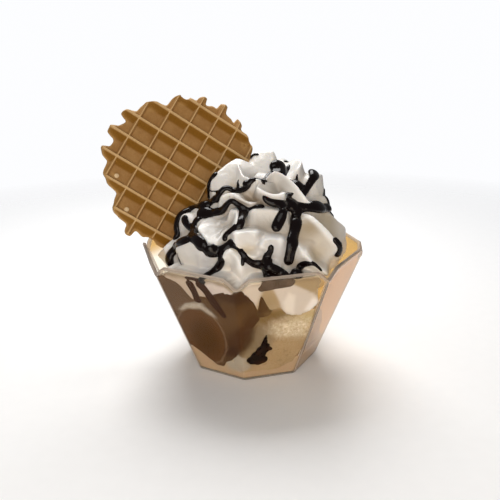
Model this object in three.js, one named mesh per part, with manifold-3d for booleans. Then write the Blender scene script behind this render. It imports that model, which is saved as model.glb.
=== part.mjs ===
// A chocolate sundae in a clear eight-sided dessert cup.
// Millimetres, +Z up. The origin is the middle of the cup's underside, and the front faces -Y.
import * as THREE from 'three';
import { mergeVertices } from 'three/addons/utils/BufferGeometryUtils.js';
import Module from 'manifold-3d';

const wasm = await Module();
wasm.setup();

// Driving dimensions

// Clear cup: a tapered octagon whose rim dips to a notch at every corner.
const CUP = {
  sides: 8,
  turn: -7.3,
  footRadius: 30,
  rimRadius: 51.8,
  rimHeight: 54.2,
  notchHeight: 49.8,
  notchHalfWidth: 5.3,
  notchShoulder: { out: 1.6, in: 1.8, over: 0.4, under: 1.4 },
  notchTip: { half: 1.3, rise: 0.7 },
  wall: 1.2,
  floor: 1.6,
};

// Clearance between pieces that touch, and how far cutters run past what they cut.
const GAP = 0.3;
const OVERCUT = 12;

// Round waffle, a little square, with a square grid of ribs on both faces. Low and high are how far
// a rib's two flanks reach, and the web stops short of the ribs' ends all round.
const WAFER = {
  radius: 38,
  squareness: 2.1,
  outlineSides: 48,
  webInset: 3.9,
  webThickness: 1.5,
  pitch: 10.4,
  lines: 3,
  mainRib: { low: 3.8, high: 1.1, crest: 0.5, rise: 2.1 },
  crossRib: { low: 1.3, high: 1.1, crest: 0.4, rise: 1.3 },
  gridShift: { x: 0.6, y: 0.8 },
  bites: [{ x: -17.9, y: 33.4, radius: 2.6 }, { x: 0.5, y: -39.2, radius: 5.0 }],
  biteSides: 12,
  centre: { x: -30.4, y: 14.5, z: 83.1 },
  turn: 22,
  lean: 20.7,
  roll: -36.5,
};

// Scoops: ellipsoids squeezed against the cup, one in front and one slumped behind it.
const CHOCOLATE = [
  { centre: [-13.7, -9, 26], radii: [24.5, 23.5, 22], craggy: 0.5, seed: 1.7, detail: 4 },
  { centre: [-11, 14, 22], radii: [26, 24, 14], craggy: 0.5, seed: 2.9, detail: 2 },
];
const VANILLA = [
  { centre: [12.5, -9, 19.5], radii: [18.5, 24.5, 20.5], craggy: 0.7, seed: 4.1, detail: 3 },
  { centre: [14, 14, 20], radii: [17, 22, 13], craggy: 0.5, seed: 5.3, detail: 2 },
];
const POOL_LEVEL = 9.5;

// Blob of sauce at the bottom, pressed on the front wall: a body, a knob and a pointed tail.
const DOLLOP = {
  body: { centre: [0.9, -28.6, 13.2], radii: [4.9, 4.2, 3.6], detail: 1 },
  knob: { centre: [5.6, -29.4, 17.6], radii: [2.4, 2.6, 2.2], detail: 1 },
  tail: { centre: [4.4, -30.2, 19.6], radii: [1.9, 2.2, 5.6], detail: 1 },
};

// Whipped cream: a mound measured from its own centre, with a groove between two tiers. A share of
// its rows lies above the lowest elevation that shows, and below that it turns into a plug.
const CREAM = {
  centre: { x: 4.3, y: 0, z: 50 },
  columns: 57,
  rows: 25,
  shownShare: 0.8,
  lowest: -6,
  groove: { depth: 4, elevation: 36, side: -5.5, front: 6, width: 9 },
  recess: { depth: 10, azimuth: 128, width: 16, from: 6, to: 40 },
  relief: 1.35,
  blend: 1.4,
  fade: { from: -0.05, to: 0.25, least: 0.35 },
};

// Below its widest ring the cream is a round-edged plug between the scoops and the wall. It stops
// short of the wall at two azimuths: each gap is an azimuth and a width in degrees.
const PLUG = {
  reach: 43,
  gapReach: 30,
  gaps: [[66, 34], [128, 24]],
  front: 12,
  back: 26,
  slope: 20,
  square: 3.2,
  begins: 2,
  complete: -8,
};

// The mound's radius at a few elevations, in degrees above the horizontal.
const MOUND_PROFILE = [[0, 38], [18, 37], [34, 35.6], [52, 35.4], [75, 36.6], [90, 37.6]];

// Folds of the cream: how high each one rises, how far its left and right flanks reach, seen along its
// route, and how hollow they are. A route is azimuth from the front and elevation, both in degrees.
const CRESTS = [
  { rise: 5.5, left: 11, right: 9, edge: 0.8, route: [[-60, 48], [-62, 58], [-75, 72], [-133, 79]] },
  { rise: 5.5, left: 9, right: 9, edge: 1.1, route: [[-133, 79], [-165, 83], [150, 83], [120, 77]] },
  { rise: 4.8, left: 5, right: 6, edge: 1.3, route: [[-123, 80], [-48, 74], [-28, 65], [-8, 60], [2, 59]] },
  {
    rise: 5.5, left: 6, right: 4, edge: 1.5,
    route: [[-12, 61], [-6, 55], [0, 52], [7, 50], [14, 49], [22, 50], [30, 54]],
  },
  {
    rise: 6, left: 6, right: 5, edge: 1.6,
    route: [[9, 60], [11, 65], [17, 66], [23, 63], [26, 57], [32, 51], [37, 44], [44, 41], [74, 33]],
  },
  { rise: 5, left: 7, right: 7, edge: 1.2, route: [[56, 60], [74, 64], [100, 67], [125, 70]] },
  { rise: 4.5, left: 7, right: 7, edge: 1.2, route: [[64, 55], [86, 53], [100, 48]] },
  {
    rise: 5.5, left: 6, right: 4, edge: 1.5,
    route: [[-44, 43], [-40, 47], [-35, 49], [-26, 50], [-16, 48], [-9, 47], [4, 49]],
  },
  { rise: 4, left: 7, right: 6, edge: 1.1, route: [[-92, 28], [-82, 35], [-72, 39], [-60, 44]] },
  { rise: 4.5, left: 7, right: 4, edge: 1.2, route: [[-52, 28], [-41, 24], [-31, 18], [-27, 21], [-25, 27]] },
  { rise: 4.5, left: 6, right: 5, edge: 1.3, route: [[-33, 38], [-24, 44], [-20, 39], [-18, 32], [-21, 28]] },
  { rise: 5, left: 6, right: 11, edge: 0.9, route: [[-15, 43], [4, 43], [17, 41], [28, 40]] },
  { rise: 5.5, left: 5, right: 8, edge: 0.9, route: [[-21, 25], [-15, 26], [-9, 27], [1, 27]] },
  { rise: 4.5, left: 4, right: 10, edge: 0.9, route: [[-3, 16], [-1, 20], [2, 23], [8, 23], [16, 22]] },
  { rise: 6.5, left: 4, right: 13, edge: 1.4, route: [[37, 42], [39, 31], [41, 24], [44, 18], [52, 8]] },
  { rise: 4, left: 9, right: 9, edge: 0.9, route: [[62, 38], [76, 29], [84, 20], [88, 8]] },
  { rise: 3, left: 5, right: 5, edge: 1.3, route: [[25, 20], [37, 16], [43, 11], [55, 3]] },
  { rise: 5, left: 10, right: 4, edge: 1.3, route: [[20, 20], [22, 15], [28, 8], [35, 2], [41, -4]] },
  { rise: 5.5, left: 6, right: 13, edge: 0.7, route: [[-62, 7], [-49, 15], [-41, 17], [-32, 15], [-26, 11]] },
  { rise: 7.5, left: 9, right: 10, edge: 0.7, route: [[-70, 11], [-78, 5], [-88, -4]] },
  { rise: 4.5, left: 6, right: 8, edge: 1, route: [[-25, 8], [-18, 16], [-14, 14], [-12, 9], [-12, 0]] },
  { rise: 4, left: 5, right: 4, edge: 1.3, route: [[-22, 23], [-15, 20], [-10, 16], [-5, 14], [0, 13]] },
  { rise: 3.5, left: 5, right: 4, edge: 1.2, route: [[0, 10], [4, 9], [11, 5]] },
  { rise: 4.4, left: 10, right: 10, edge: 1, route: [[-76, 34], [-80, 22], [-84, 8]] },
];

// Scooped faces between the folds: direction, half sizes across and up, and how deep they go.
const HOLLOWS = [
  { at: [-16, 71], half: [7.5, 4.8], depth: 2.6 },
  { at: [20, 58], half: [3.8, 3.2], depth: 1.5 },
  { at: [62, 48], half: [5, 5], depth: 1.4 },
  { at: [-15, 53], half: [6.5, 2.6], depth: 2 },
  { at: [-34, 31], half: [5.5, 6], depth: 1.6 },
  { at: [3, 34], half: [10, 4], depth: 1.2 },
  { at: [32, 28], half: [6, 8], depth: 1.2 },
  { at: [70, 30], half: [7, 9], depth: 0.8 },
  { at: [33, 12], half: [5, 4], depth: 0.8 },
];

// Where the whole mound is dented or, with a depth below zero, bulges.
const DENTS = [
  { at: [-82, 13], half: [9, 8], depth: 3.6 },
  { at: [-99, 24], half: [8, 7], depth: 2.6 },
  { at: [125, 73], half: [6, 6], depth: -2.2 },
  { at: [92, 60], half: [7, 7], depth: -3.4 },
  { at: [78, 44], half: [8, 6], depth: -1.8 },
  { at: [-115, 62], half: [9, 9], depth: 1.5 },
  { at: [84, 20], half: [11, 8], depth: 3.6 },
  { at: [-83, -3], half: [9, 6], depth: -3.4 },
  { at: [97, 2], half: [8, 6], depth: -1.8 },
];

// The far side carries the same sort of folds, one after another round each tier, each a little uneven.
const BACK_CRESTS = [
  { count: 6, from: 112, to: 250, low: 2, high: 33, slant: 26, rise: 5.2, left: 11, right: 7, edge: 1.3 },
  { count: 4, from: 118, to: 236, low: 42, high: 72, slant: 38, rise: 4.8, left: 10, right: 7, edge: 1.3 },
];
const BACK_CREST = { middle: 0.35, uneven: 3, turn: 2.4 };

// Thick drizzle: its width at the start and at the end, and a route on the cream, as for the folds.
const DRIZZLE = [
  { width: [2.4, 3], route: [[-65, 62], [-64, 57], [-73, 52], [-77, 48]] },
  { width: [2.6, 3], route: [[-55, 48], [-53, 51], [-45, 58], [-33, 59], [-21, 58], [-13, 59]] },
  { width: [2.8, 1.8], route: [[-24, 60], [-15, 59], [-4, 62], [6, 60]] },
  { width: [1.8, 2.4], route: [[50, 80], [30, 79], [3, 66], [6, 61]] },
  { width: [3.8, 4.4], route: [[115, 83], [125, 77], [114, 72]] },
  { width: [1.8, 3], route: [[30, 64], [45, 66], [57, 62], [69, 60]] },
  { width: [3.4, 1.4], route: [[90, 58], [73, 56], [60, 53], [42, 48]] },
  { width: [1.4, 3.2], route: [[89, 46], [80, 41], [84, 33], [83, 26]] },
  { width: [1.6, 3.2], route: [[37, 53], [31, 55], [28, 50]] },
  { width: [2.6, 4.4], route: [[3, 54], [9, 51], [20, 49], [31, 47], [38, 45]] },
  { width: [4.6, 1.8], route: [[33, 47], [45, 43], [58, 40], [80, 34]] },
  { width: [2.8, 4.2], route: [[28, 53], [23, 48], [15, 38], [11, 33], [9, 29]] },
  { width: [4, 4.6], route: [[36, 47], [35, 43], [28, 34], [19, 21], [15, 8]] },
  { width: [3, 1.8], route: [[-70, 37], [-59, 39], [-45, 44], [-37, 49], [-28, 52], [-9, 46], [3, 46]] },
  { width: [2.2, 2.6], route: [[-88, 34], [-80, 40], [-71, 44], [-61, 48], [-52, 51]] },
  { width: [2.4, 2.8], route: [[-88, 34], [-78, 27], [-78, 19], [-75, 12]] },
  { width: [3.8, 2.6], route: [[-75, 29], [-67, 25], [-60, 25]] },
  { width: [3.8, 4.8], route: [[-63, 34], [-60, 26], [-50, 21], [-38, 19], [-32, 16]] },
  { width: [2.2, 2.8], route: [[-72, 10], [-65, 14], [-49, 20]] },
  { width: [4.4, 2.8], route: [[-70, -3], [-69, 2], [-69, 8], [-55, 15], [-45, 19]] },
  { width: [4.6, 2.4], route: [[-19, 49], [-19, 40], [-18, 32], [-21, 29], [-25, 26], [-26, 22]] },
  { width: [4.6, 3.2], route: [[-33, 18], [-31, 16], [-26, 16], [-21, 19], [-18, 22]] },
  { width: [3.2, 2.6], route: [[-24, 17], [-23, 12], [-27, 6], [-31, 0]] },
  { width: [2.8, 4], route: [[-22, 20], [-18, 22], [-14, 18], [-9, 13], [-3, 10], [2, 9], [7, 6], [13, 3]] },
  { width: [2.2, 3.2], route: [[5, 21], [4, 17], [2, 13], [4, 10]] },
  { width: [4.6, 1], route: [[14, 4], [21, 4], [25, 9], [29, 10], [34, 5]] },
  { width: [1.6, 2.4], route: [[49, 16], [51, 13], [55, 10], [53, 7]] },
];

// Drizzle behind: one zigzag poured back and forth, and a wavy line round each tier.
const BACK_ZIGZAG = { from: 92, to: 262, strokes: 7, low: 14, high: 62, width: [2.9, 2.9] };
const BACK_LINES = [
  { from: 80, to: 276, elevation: 34, wave: 6, cycles: 2.5, width: [2.8, 2.8] },
  { from: 100, to: 262, elevation: 56, wave: 5, cycles: 2, width: [2.5, 2.5] },
];
const BACK_LINE_POINTS = 13;

// A strand's section and steps, how small its ends are, and its height as a share of its width.
const STRAND = { sides: 4, step: 6.8, end: 0.55, height: 0.84 };

const COLOURS = {
  cup: { color: '#e2c49c', roughness: 0.06, metalness: 0, transparent: true, opacity: 0.35 },
  wafer: { color: '#936d42', roughness: 0.75, metalness: 0 },
  cream: { color: '#f1ebe2', roughness: 0.45, metalness: 0 },
  chocolate: { color: '#5b4226', roughness: 0.6, metalness: 0 },
  vanilla: { color: '#cdb088', roughness: 0.6, metalness: 0 },
  melted: { color: '#b99a74', roughness: 0.4, metalness: 0 },
  sauce: { color: '#190400', roughness: 0.12, metalness: 0 },
};

const degrees = THREE.MathUtils.degToRad;
const { clamp, lerp, radToDeg, smoothstep } = THREE.MathUtils;
const SLOPE = (CUP.rimRadius - CUP.footRadius) / CUP.rimHeight;
const APOTHEM = Math.cos(Math.PI / CUP.sides);
const CREAM_CENTRE = new THREE.Vector3(CREAM.centre.x, CREAM.centre.y, CREAM.centre.z);
const CREAM_REACH = MOUND_PROFILE[0][1];

// Booleans

function toSolid(geometry) {
  const bare = geometry.index ? geometry.clone() : geometry;
  bare.deleteAttribute('normal');
  bare.deleteAttribute('uv');
  const merged = mergeVertices(bare, 1e-4);
  return new wasm.Manifold(new wasm.Mesh({
    numProp: 3,
    vertProperties: Float32Array.from(merged.attributes.position.array),
    triVerts: Uint32Array.from(merged.index.array),
  }));
}

// Keeps the largest connected body, so that a cut leaves no loose scrap.
function toGeometry(solid) {
  const mesh = solid.getMesh();
  const parent = Array.from({ length: mesh.vertProperties.length / mesh.numProp }, (_, i) => i);
  const root = (i) => {
    while (parent[i] !== i) {
      parent[i] = parent[parent[i]];
      i = parent[i];
    }
    return i;
  };
  const triangles = [];
  for (let t = 0; t < mesh.triVerts.length; t += 3) {
    const corners = [...mesh.triVerts.slice(t, t + 3)];
    parent[root(corners[1])] = root(corners[0]);
    parent[root(corners[2])] = root(corners[0]);
    triangles.push(corners);
  }
  const sizes = new Map();
  for (const [a] of triangles) sizes.set(root(a), (sizes.get(root(a)) ?? 0) + 1);
  const largest = [...sizes].sort((p, q) => q[1] - p[1])[0][0];
  const geometry = new THREE.BufferGeometry();
  geometry.setAttribute('position', new THREE.BufferAttribute(mesh.vertProperties, mesh.numProp));
  geometry.setIndex(triangles.filter(([a]) => root(a) === largest).flat());
  const clean = mergeVertices(geometry, 1e-5);
  clean.computeVertexNormals();
  return clean;
}

// Cup

function cornerRadius(height, inset) {
  const outer = CUP.footRadius + SLOPE * height;
  return outer - inset / APOTHEM;
}

// A tapered octagon that follows the cup's walls, shrunk inwards by inset.
function octagonSolid(inset, low, high) {
  const geometry = new THREE.CylinderGeometry(
    cornerRadius(high, inset), cornerRadius(low, inset), high - low, CUP.sides, 1, false, degrees(CUP.turn));
  geometry.rotateX(Math.PI / 2);
  geometry.translate(0, 0, (low + high) / 2);
  return toSolid(geometry);
}

// The V-shaped dip at one corner of the rim, with rounded shoulders, cut along +X.
function notchSolid() {
  const { notchHalfWidth: half, notchHeight: bottom, notchShoulder: shoulder, notchTip: tip } = CUP;
  const top = CUP.rimHeight;
  const dip = new THREE.Shape();
  dip.moveTo(-half - shoulder.out, top + shoulder.over);
  dip.quadraticCurveTo(-half + shoulder.over, top, -half + shoulder.in, top - shoulder.under);
  dip.lineTo(-tip.half, bottom + tip.rise);
  dip.quadraticCurveTo(0, bottom - tip.rise, tip.half, bottom + tip.rise);
  dip.lineTo(half - shoulder.in, top - shoulder.under);
  dip.quadraticCurveTo(half - shoulder.over, top, half + shoulder.out, top + shoulder.over);
  const geometry = new THREE.ExtrudeGeometry(dip, { depth: OVERCUT, bevelEnabled: false, curveSegments: 3 });
  geometry.rotateX(Math.PI / 2);
  geometry.rotateZ(Math.PI / 2);
  geometry.translate(cornerRadius(top, 0) - OVERCUT / 2, 0, 0);
  return toSolid(geometry);
}

function cupGeometry() {
  let cup = octagonSolid(0, 0, CUP.rimHeight);
  cup = cup.subtract(octagonSolid(CUP.wall, CUP.floor, CUP.rimHeight + OVERCUT));
  const notch = notchSolid();
  for (let corner = 0; corner < CUP.sides; corner += 1) {
    const azimuth = CUP.turn + (corner * 360) / CUP.sides;
    cup = cup.subtract(notch.rotate([0, 0, azimuth - 90]));
  }
  return toGeometry(cup);
}

// The space inside the cup, kept clear of its walls and floor and open upwards.
function insideSolid() {
  return octagonSolid(CUP.wall + GAP, CUP.floor + GAP, CUP.rimHeight * 2.2);
}

// Wafer

function waferRadius(bearing) {
  return WAFER.radius + WAFER.squareness * Math.cos(4 * bearing);
}

// A plate with the wafer's outline, shrunk inwards by inset.
function plateSolid(inset, thickness) {
  const outline = Array.from({ length: WAFER.outlineSides }, (_, i) => {
    const bearing = (i * 2 * Math.PI) / WAFER.outlineSides;
    const radius = waferRadius(bearing) - inset;
    return new THREE.Vector2(Math.cos(bearing) * radius, Math.sin(bearing) * radius);
  });
  const shape = new THREE.Shape(outline);
  const geometry = new THREE.ExtrudeGeometry(shape, { depth: thickness, bevelEnabled: false });
  geometry.translate(0, 0, -thickness / 2);
  return toSolid(geometry);
}

// One rib, with its sloping flanks on both faces of the waffle, running along X at a distance y.
function ribSolid({ low, high, crest, rise }, y) {
  const half = WAFER.webThickness / 2;
  const top = half + rise;
  const outline = new THREE.Shape([
    new THREE.Vector2(-low, -half),
    new THREE.Vector2(-crest / 2, -top),
    new THREE.Vector2(crest / 2, -top),
    new THREE.Vector2(high, -half),
    new THREE.Vector2(high, half),
    new THREE.Vector2(crest / 2, top),
    new THREE.Vector2(-crest / 2, top),
    new THREE.Vector2(-low, half),
  ]);
  const reach = WAFER.radius + WAFER.squareness;
  const geometry = new THREE.ExtrudeGeometry(outline, { depth: 2 * reach, bevelEnabled: false });
  geometry.translate(0, 0, -reach);
  geometry.rotateY(Math.PI / 2);
  geometry.rotateX(Math.PI / 2);
  geometry.translate(0, y, 0);
  return toSolid(geometry);
}

function waferSolid() {
  const { mainRib, crossRib, pitch, lines, gridShift, bites, biteSides, webInset, webThickness } = WAFER;
  const tall = webThickness + 2 * OVERCUT;
  const ribs = [];
  for (let line = -lines; line <= lines; line += 1) {
    ribs.push(ribSolid(mainRib, line * pitch + gridShift.y));
    ribs.push(ribSolid(crossRib, line * pitch + gridShift.x).rotate([0, 0, -90]));
  }
  const grid = ribs.reduce((sum, rib) => sum.add(rib)).intersect(plateSolid(0, tall));
  let wafer = plateSolid(webInset, webThickness).add(grid);
  for (const { x, y, radius } of bites) {
    const bitten = new THREE.CylinderGeometry(radius, radius, tall, biteSides);
    bitten.rotateX(Math.PI / 2);
    bitten.translate(x, y, 0);
    wafer = wafer.subtract(toSolid(bitten));
  }
  return wafer;
}

// Scoops, pool and dollop

// Gentle bumps that never repeat, between -1 and 1.
function bumps(point, seed) {
  const a = Math.sin(point.x * 0.31 + seed) * Math.cos(point.y * 0.27 - seed);
  const b = Math.sin(point.z * 0.37 + point.x * 0.19 + 2 * seed);
  return 0.6 * a + 0.4 * b * Math.cos(point.y * 0.43 + seed);
}

function ellipsoidSolid({ centre, radii, detail, craggy = 0, seed = 0 }, extra) {
  const geometry = new THREE.IcosahedronGeometry(1, detail);
  geometry.deleteAttribute('normal');
  geometry.deleteAttribute('uv');
  const merged = mergeVertices(geometry, 1e-5);
  const position = merged.attributes.position;
  const size = new THREE.Vector3(...radii);
  const point = new THREE.Vector3();
  for (let i = 0; i < position.count; i += 1) {
    const outward = point.fromBufferAttribute(position, i).clone();
    point.multiply(size);
    point.addScaledVector(outward, extra + craggy * bumps(point, seed));
    point.add(new THREE.Vector3(...centre));
    position.setXYZ(i, point.x, point.y, point.z);
  }
  return toSolid(merged);
}

// Overlapping ellipsoids as one body, grown outwards by extra.
function blobSolid(blobs, extra) {
  return blobs.map((blob) => ellipsoidSolid(blob, extra)).reduce((sum, blob) => sum.add(blob));
}

// Cream

function direction([azimuth, elevation]) {
  const a = degrees(azimuth);
  const e = degrees(elevation);
  return new THREE.Vector3(Math.sin(a) * Math.cos(e), -Math.cos(a) * Math.cos(e), Math.sin(e));
}

function moundRadius(azimuth, elevation) {
  const a = degrees(azimuth);
  const e = Math.max(elevation, 0);
  const next = Math.max(1, MOUND_PROFILE.findIndex(([at]) => at >= e));
  const [e0, r0] = MOUND_PROFILE[next - 1];
  const [e1, r1] = MOUND_PROFILE[next];
  const radius = lerp(r0, r1, (e - e0) / (e1 - e0));
  const { depth, elevation: level, side, front, width } = CREAM.groove;
  const groove = level + side * Math.sin(a) + front * Math.cos(a);
  return radius - depth * Math.exp(-(((elevation - groove) / width) ** 2));
}

// One at a given azimuth, falling off to either hand.
function shareRound(azimuth, middle, width) {
  const off = ((azimuth - middle + 540) % 360) - 180;
  return Math.exp(-((off / width) ** 2));
}

// How much of the recess beside the free space applies in one direction.
function recessShare(azimuth, elevation) {
  const { azimuth: middle, width, from, to } = CREAM.recess;
  return shareRound(azimuth, middle, width) * (1 - smoothstep(elevation, from, to));
}

// How deep the hollows or dents of a list go in one direction.
function dentDepth(dents, outward) {
  let total = 0;
  for (const { at, half, depth } of dents) {
    const middle = direction(at);
    const across = direction([at[0] + 90, 0]);
    const up = new THREE.Vector3().crossVectors(middle, across);
    const off = outward.clone().sub(middle).multiplyScalar(CREAM_REACH);
    total += depth * Math.exp(-((off.dot(across) / half[0]) ** 2) - (off.dot(up) / half[1]) ** 2);
  }
  return total;
}

// Points along a smooth route of directions, about a step apart.
function smoothRoute(route, step) {
  const curve = new THREE.CatmullRomCurve3(route.map(direction), false, 'centripetal');
  const count = Math.max(2, Math.round((curve.getLength() * CREAM_REACH) / step));
  return curve.getSpacedPoints(count).map((point) => point.normalize());
}

function backCrests() {
  return BACK_CRESTS.flatMap(({ count, from, to, low, high, slant, ...shape }) =>
    Array.from({ length: count }, (_, i) => {
      const start = lerp(from, to, i / (count - 1));
      const middle = (low + high) / 2 + BACK_CREST.uneven * Math.sin(BACK_CREST.turn * i);
      const route = [[start, low], [start + slant * BACK_CREST.middle, middle], [start + slant, high]];
      return { ...shape, route };
    }));
}

const crestLines = [...CRESTS, ...backCrests()].map((crest) => ({
  ...crest,
  points: smoothRoute(crest.route, 2),
}));

// The height of one fold in one direction: highest along its route, lower towards both of its ends.
function crestHeight({ points, rise, left, right, edge }, outward) {
  let nearest = 0;
  points.forEach((point, i) => {
    if (point.distanceToSquared(outward) < points[nearest].distanceToSquared(outward)) nearest = i;
  });
  const last = points.length - 1;
  const ahead = points[Math.min(nearest + 1, last)].clone().sub(points[Math.max(nearest - 1, 0)]);
  const toRight = new THREE.Vector3().crossVectors(ahead, points[nearest]).normalize();
  const off = outward.clone().sub(points[nearest]).multiplyScalar(CREAM_REACH);
  const width = lerp(left, right, smoothstep(off.dot(toRight), -1, 1));
  const along = nearest / last;
  const { from, to, least } = CREAM.fade;
  const fade = smoothstep(along, from, to) * smoothstep(1 - along, from, to);
  return CREAM.relief * rise * lerp(least, 1, fade) * Math.max(1 - off.length() / width, 0) ** edge;
}

// How far all folds lift the cream in one direction, blended where two of them meet.
function crestLift(outward) {
  let lift = 0;
  for (const crest of crestLines) {
    const own = crestHeight(crest, outward);
    const mix = Math.max(CREAM.blend - Math.abs(lift - own), 0) / CREAM.blend;
    lift = Math.max(lift, own) + (mix * mix * CREAM.blend * Math.min(own, 1)) / 4;
  }
  return lift;
}

function creamPoint(outward) {
  const azimuth = radToDeg(Math.atan2(outward.x, -outward.y));
  const elevation = radToDeg(Math.asin(clamp(outward.z, -1, 1)));
  const recess = recessShare(azimuth, elevation);
  const folds = crestLift(outward) - dentDepth(HOLLOWS, outward);
  const mound = moundRadius(azimuth, elevation) + lerp(folds, -CREAM.recess.depth, recess);
  const below = smoothstep(-elevation, -PLUG.begins, -PLUG.complete);
  const radius = lerp(mound, plugRadius(azimuth, outward), below) - dentDepth(DENTS, outward);
  return outward.clone().multiplyScalar(radius).add(CREAM_CENTRE);
}

function plugRadius(azimuth, outward) {
  const gap = Math.max(...PLUG.gaps.map(([middle, width]) => shareRound(azimuth, middle, width)));
  const reach = lerp(PLUG.reach, PLUG.gapReach, gap);
  const behind = smoothstep(outward.y * reach, -PLUG.slope, PLUG.slope);
  const depth = lerp(PLUG.front, PLUG.back, behind);
  const flat = (Math.hypot(outward.x, outward.y) / reach) ** PLUG.square;
  const deep = (Math.abs(outward.z) / depth) ** PLUG.square;
  return (flat + deep) ** (-1 / PLUG.square);
}

// Rows crowd together where the cream shows, and spread out below.
function rowElevation(v) {
  const { shownShare, lowest } = CREAM;
  if (v < shownShare) return lerp(90, lowest, v / shownShare);
  return lerp(lowest, -90, (v - shownShare) / (1 - shownShare));
}

function creamSolid() {
  const geometry = new THREE.SphereGeometry(1, CREAM.columns, CREAM.rows);
  const position = geometry.attributes.position;
  const uv = geometry.attributes.uv;
  for (let i = 0; i < position.count; i += 1) {
    const azimuth = (Math.round(uv.getX(i) * CREAM.columns) % CREAM.columns) * (360 / CREAM.columns);
    const row = Math.round((1 - uv.getY(i)) * CREAM.rows) / CREAM.rows;
    const point = creamPoint(direction([azimuth, rowElevation(row)]));
    position.setXYZ(i, point.x, point.y, point.z);
  }
  return toSolid(geometry);
}

// A strand of drizzle: a flattened tube with small ends, half sunk in the cream.
function strandSolid({ width, route }) {
  const line = smoothRoute(route, STRAND.step).map((outward) => ({ outward, at: creamPoint(outward) }));
  const last = line.length - 1;
  const positions = [];
  line.forEach(({ outward, at }, i) => {
    const along = line[Math.min(i + 1, last)].at.clone().sub(line[Math.max(i - 1, 0)].at).normalize();
    const aside = new THREE.Vector3().crossVectors(along, outward).normalize();
    const up = new THREE.Vector3().crossVectors(aside, along).normalize();
    const half = (lerp(width[0], width[1], i / last) / 2) * (i === 0 || i === last ? STRAND.end : 1);
    for (let side = 0; side < STRAND.sides; side += 1) {
      const angle = (side / STRAND.sides) * 2 * Math.PI;
      const point = at.clone();
      point.addScaledVector(aside, Math.cos(angle) * half);
      point.addScaledVector(up, Math.sin(angle) * half * STRAND.height);
      positions.push(...point.toArray());
    }
  });
  const index = [];
  for (let i = 0; i < last; i += 1) {
    for (let side = 0; side < STRAND.sides; side += 1) {
      const a = i * STRAND.sides + side;
      const b = i * STRAND.sides + ((side + 1) % STRAND.sides);
      index.push(a, a + STRAND.sides, b, b, a + STRAND.sides, b + STRAND.sides);
    }
  }
  for (let side = 1; side < STRAND.sides - 1; side += 1) {
    index.push(0, side, side + 1);
    const end = last * STRAND.sides;
    index.push(end, end + side + 1, end + side);
  }
  const geometry = new THREE.BufferGeometry();
  geometry.setAttribute('position', new THREE.Float32BufferAttribute(positions, 3));
  geometry.setIndex(index);
  return toSolid(geometry);
}

function backDrizzle() {
  const { from, to, strokes, low, high, width } = BACK_ZIGZAG;
  const turns = Array.from({ length: strokes + 1 }, (_, i) => [
    from + ((to - from) * i) / strokes,
    i % 2 ? high : low,
  ]);
  const lines = BACK_LINES.map((line) => ({
    width: line.width,
    route: Array.from({ length: BACK_LINE_POINTS }, (_, i) => {
      const share = i / (BACK_LINE_POINTS - 1);
      const wave = line.wave * Math.sin(share * line.cycles * 2 * Math.PI);
      return [lerp(line.from, line.to, share), line.elevation + wave];
    }),
  }));
  return [{ width, route: turns }, ...lines];
}

// The sundae

const toWorld = new THREE.Group();
toWorld.position.set(WAFER.centre.x, WAFER.centre.y, WAFER.centre.z);
toWorld.rotation.z = degrees(WAFER.turn);
const leaning = new THREE.Group();
leaning.rotation.x = degrees(90 - WAFER.lean);
toWorld.add(leaning);

const inside = insideSolid();
const dollopBlobs = Object.values(DOLLOP);
const chocolate = blobSolid(CHOCOLATE, 0).intersect(inside);
const chocolateRoom = blobSolid(CHOCOLATE, GAP);
const dollop = blobSolid(dollopBlobs, 0).intersect(inside);
const dollopRoom = blobSolid(dollopBlobs, GAP);
const vanilla = blobSolid(VANILLA, 0).intersect(inside).subtract(chocolateRoom).subtract(dollopRoom);
const vanillaRoom = blobSolid(VANILLA, GAP);
const pool = octagonSolid(CUP.wall + GAP, CUP.floor + GAP, POOL_LEVEL)
  .subtract(chocolateRoom).subtract(vanillaRoom).subtract(dollopRoom);

let cream = creamSolid();
for (const strand of [...DRIZZLE, ...backDrizzle()]) cream = cream.add(strandSolid(strand));
cream = cream.intersect(inside).subtract(chocolateRoom).subtract(vanillaRoom);

// The slot in the cream that the wafer stands in, clear of its ribs.
const slotThickness = WAFER.webThickness + 2 * (WAFER.mainRib.rise + GAP);
const slotRadius = WAFER.radius + WAFER.squareness + GAP;
const slot = new THREE.CylinderGeometry(slotRadius, slotRadius, slotThickness, WAFER.outlineSides);
slot.rotateX(Math.PI / 2);
toWorld.updateMatrixWorld(true);
slot.applyMatrix4(leaning.matrixWorld);
cream = cream.subtract(toSolid(slot));

function piece(name, geometry, finish) {
  const mesh = new THREE.Mesh(geometry, new THREE.MeshStandardMaterial(finish));
  mesh.name = name;
  return mesh;
}

const wafer = piece('wafer', toGeometry(waferSolid()), COLOURS.wafer);
wafer.rotation.z = degrees(WAFER.roll);
leaning.add(wafer);

const sundae = new THREE.Group();
sundae.add(piece('cup', cupGeometry(), COLOURS.cup));
sundae.add(piece('chocolate_scoop', toGeometry(chocolate), COLOURS.chocolate));
sundae.add(piece('vanilla_scoop', toGeometry(vanilla), COLOURS.vanilla));
sundae.add(piece('melted_ice_cream', toGeometry(pool), COLOURS.melted));
sundae.add(piece('sauce_dollop', toGeometry(dollop), COLOURS.sauce));
sundae.add(piece('whipped_cream', toGeometry(cream), COLOURS.cream));
sundae.add(toWorld);

export default sundae;
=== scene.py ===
# A chocolate sundae in a clear octagonal cup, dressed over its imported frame.
# Sizes are millimetres, as in part.mjs, and become metres when a mesh is made.
import math

import bpy
import numpy as np
from mathutils import Matrix, Vector


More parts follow.
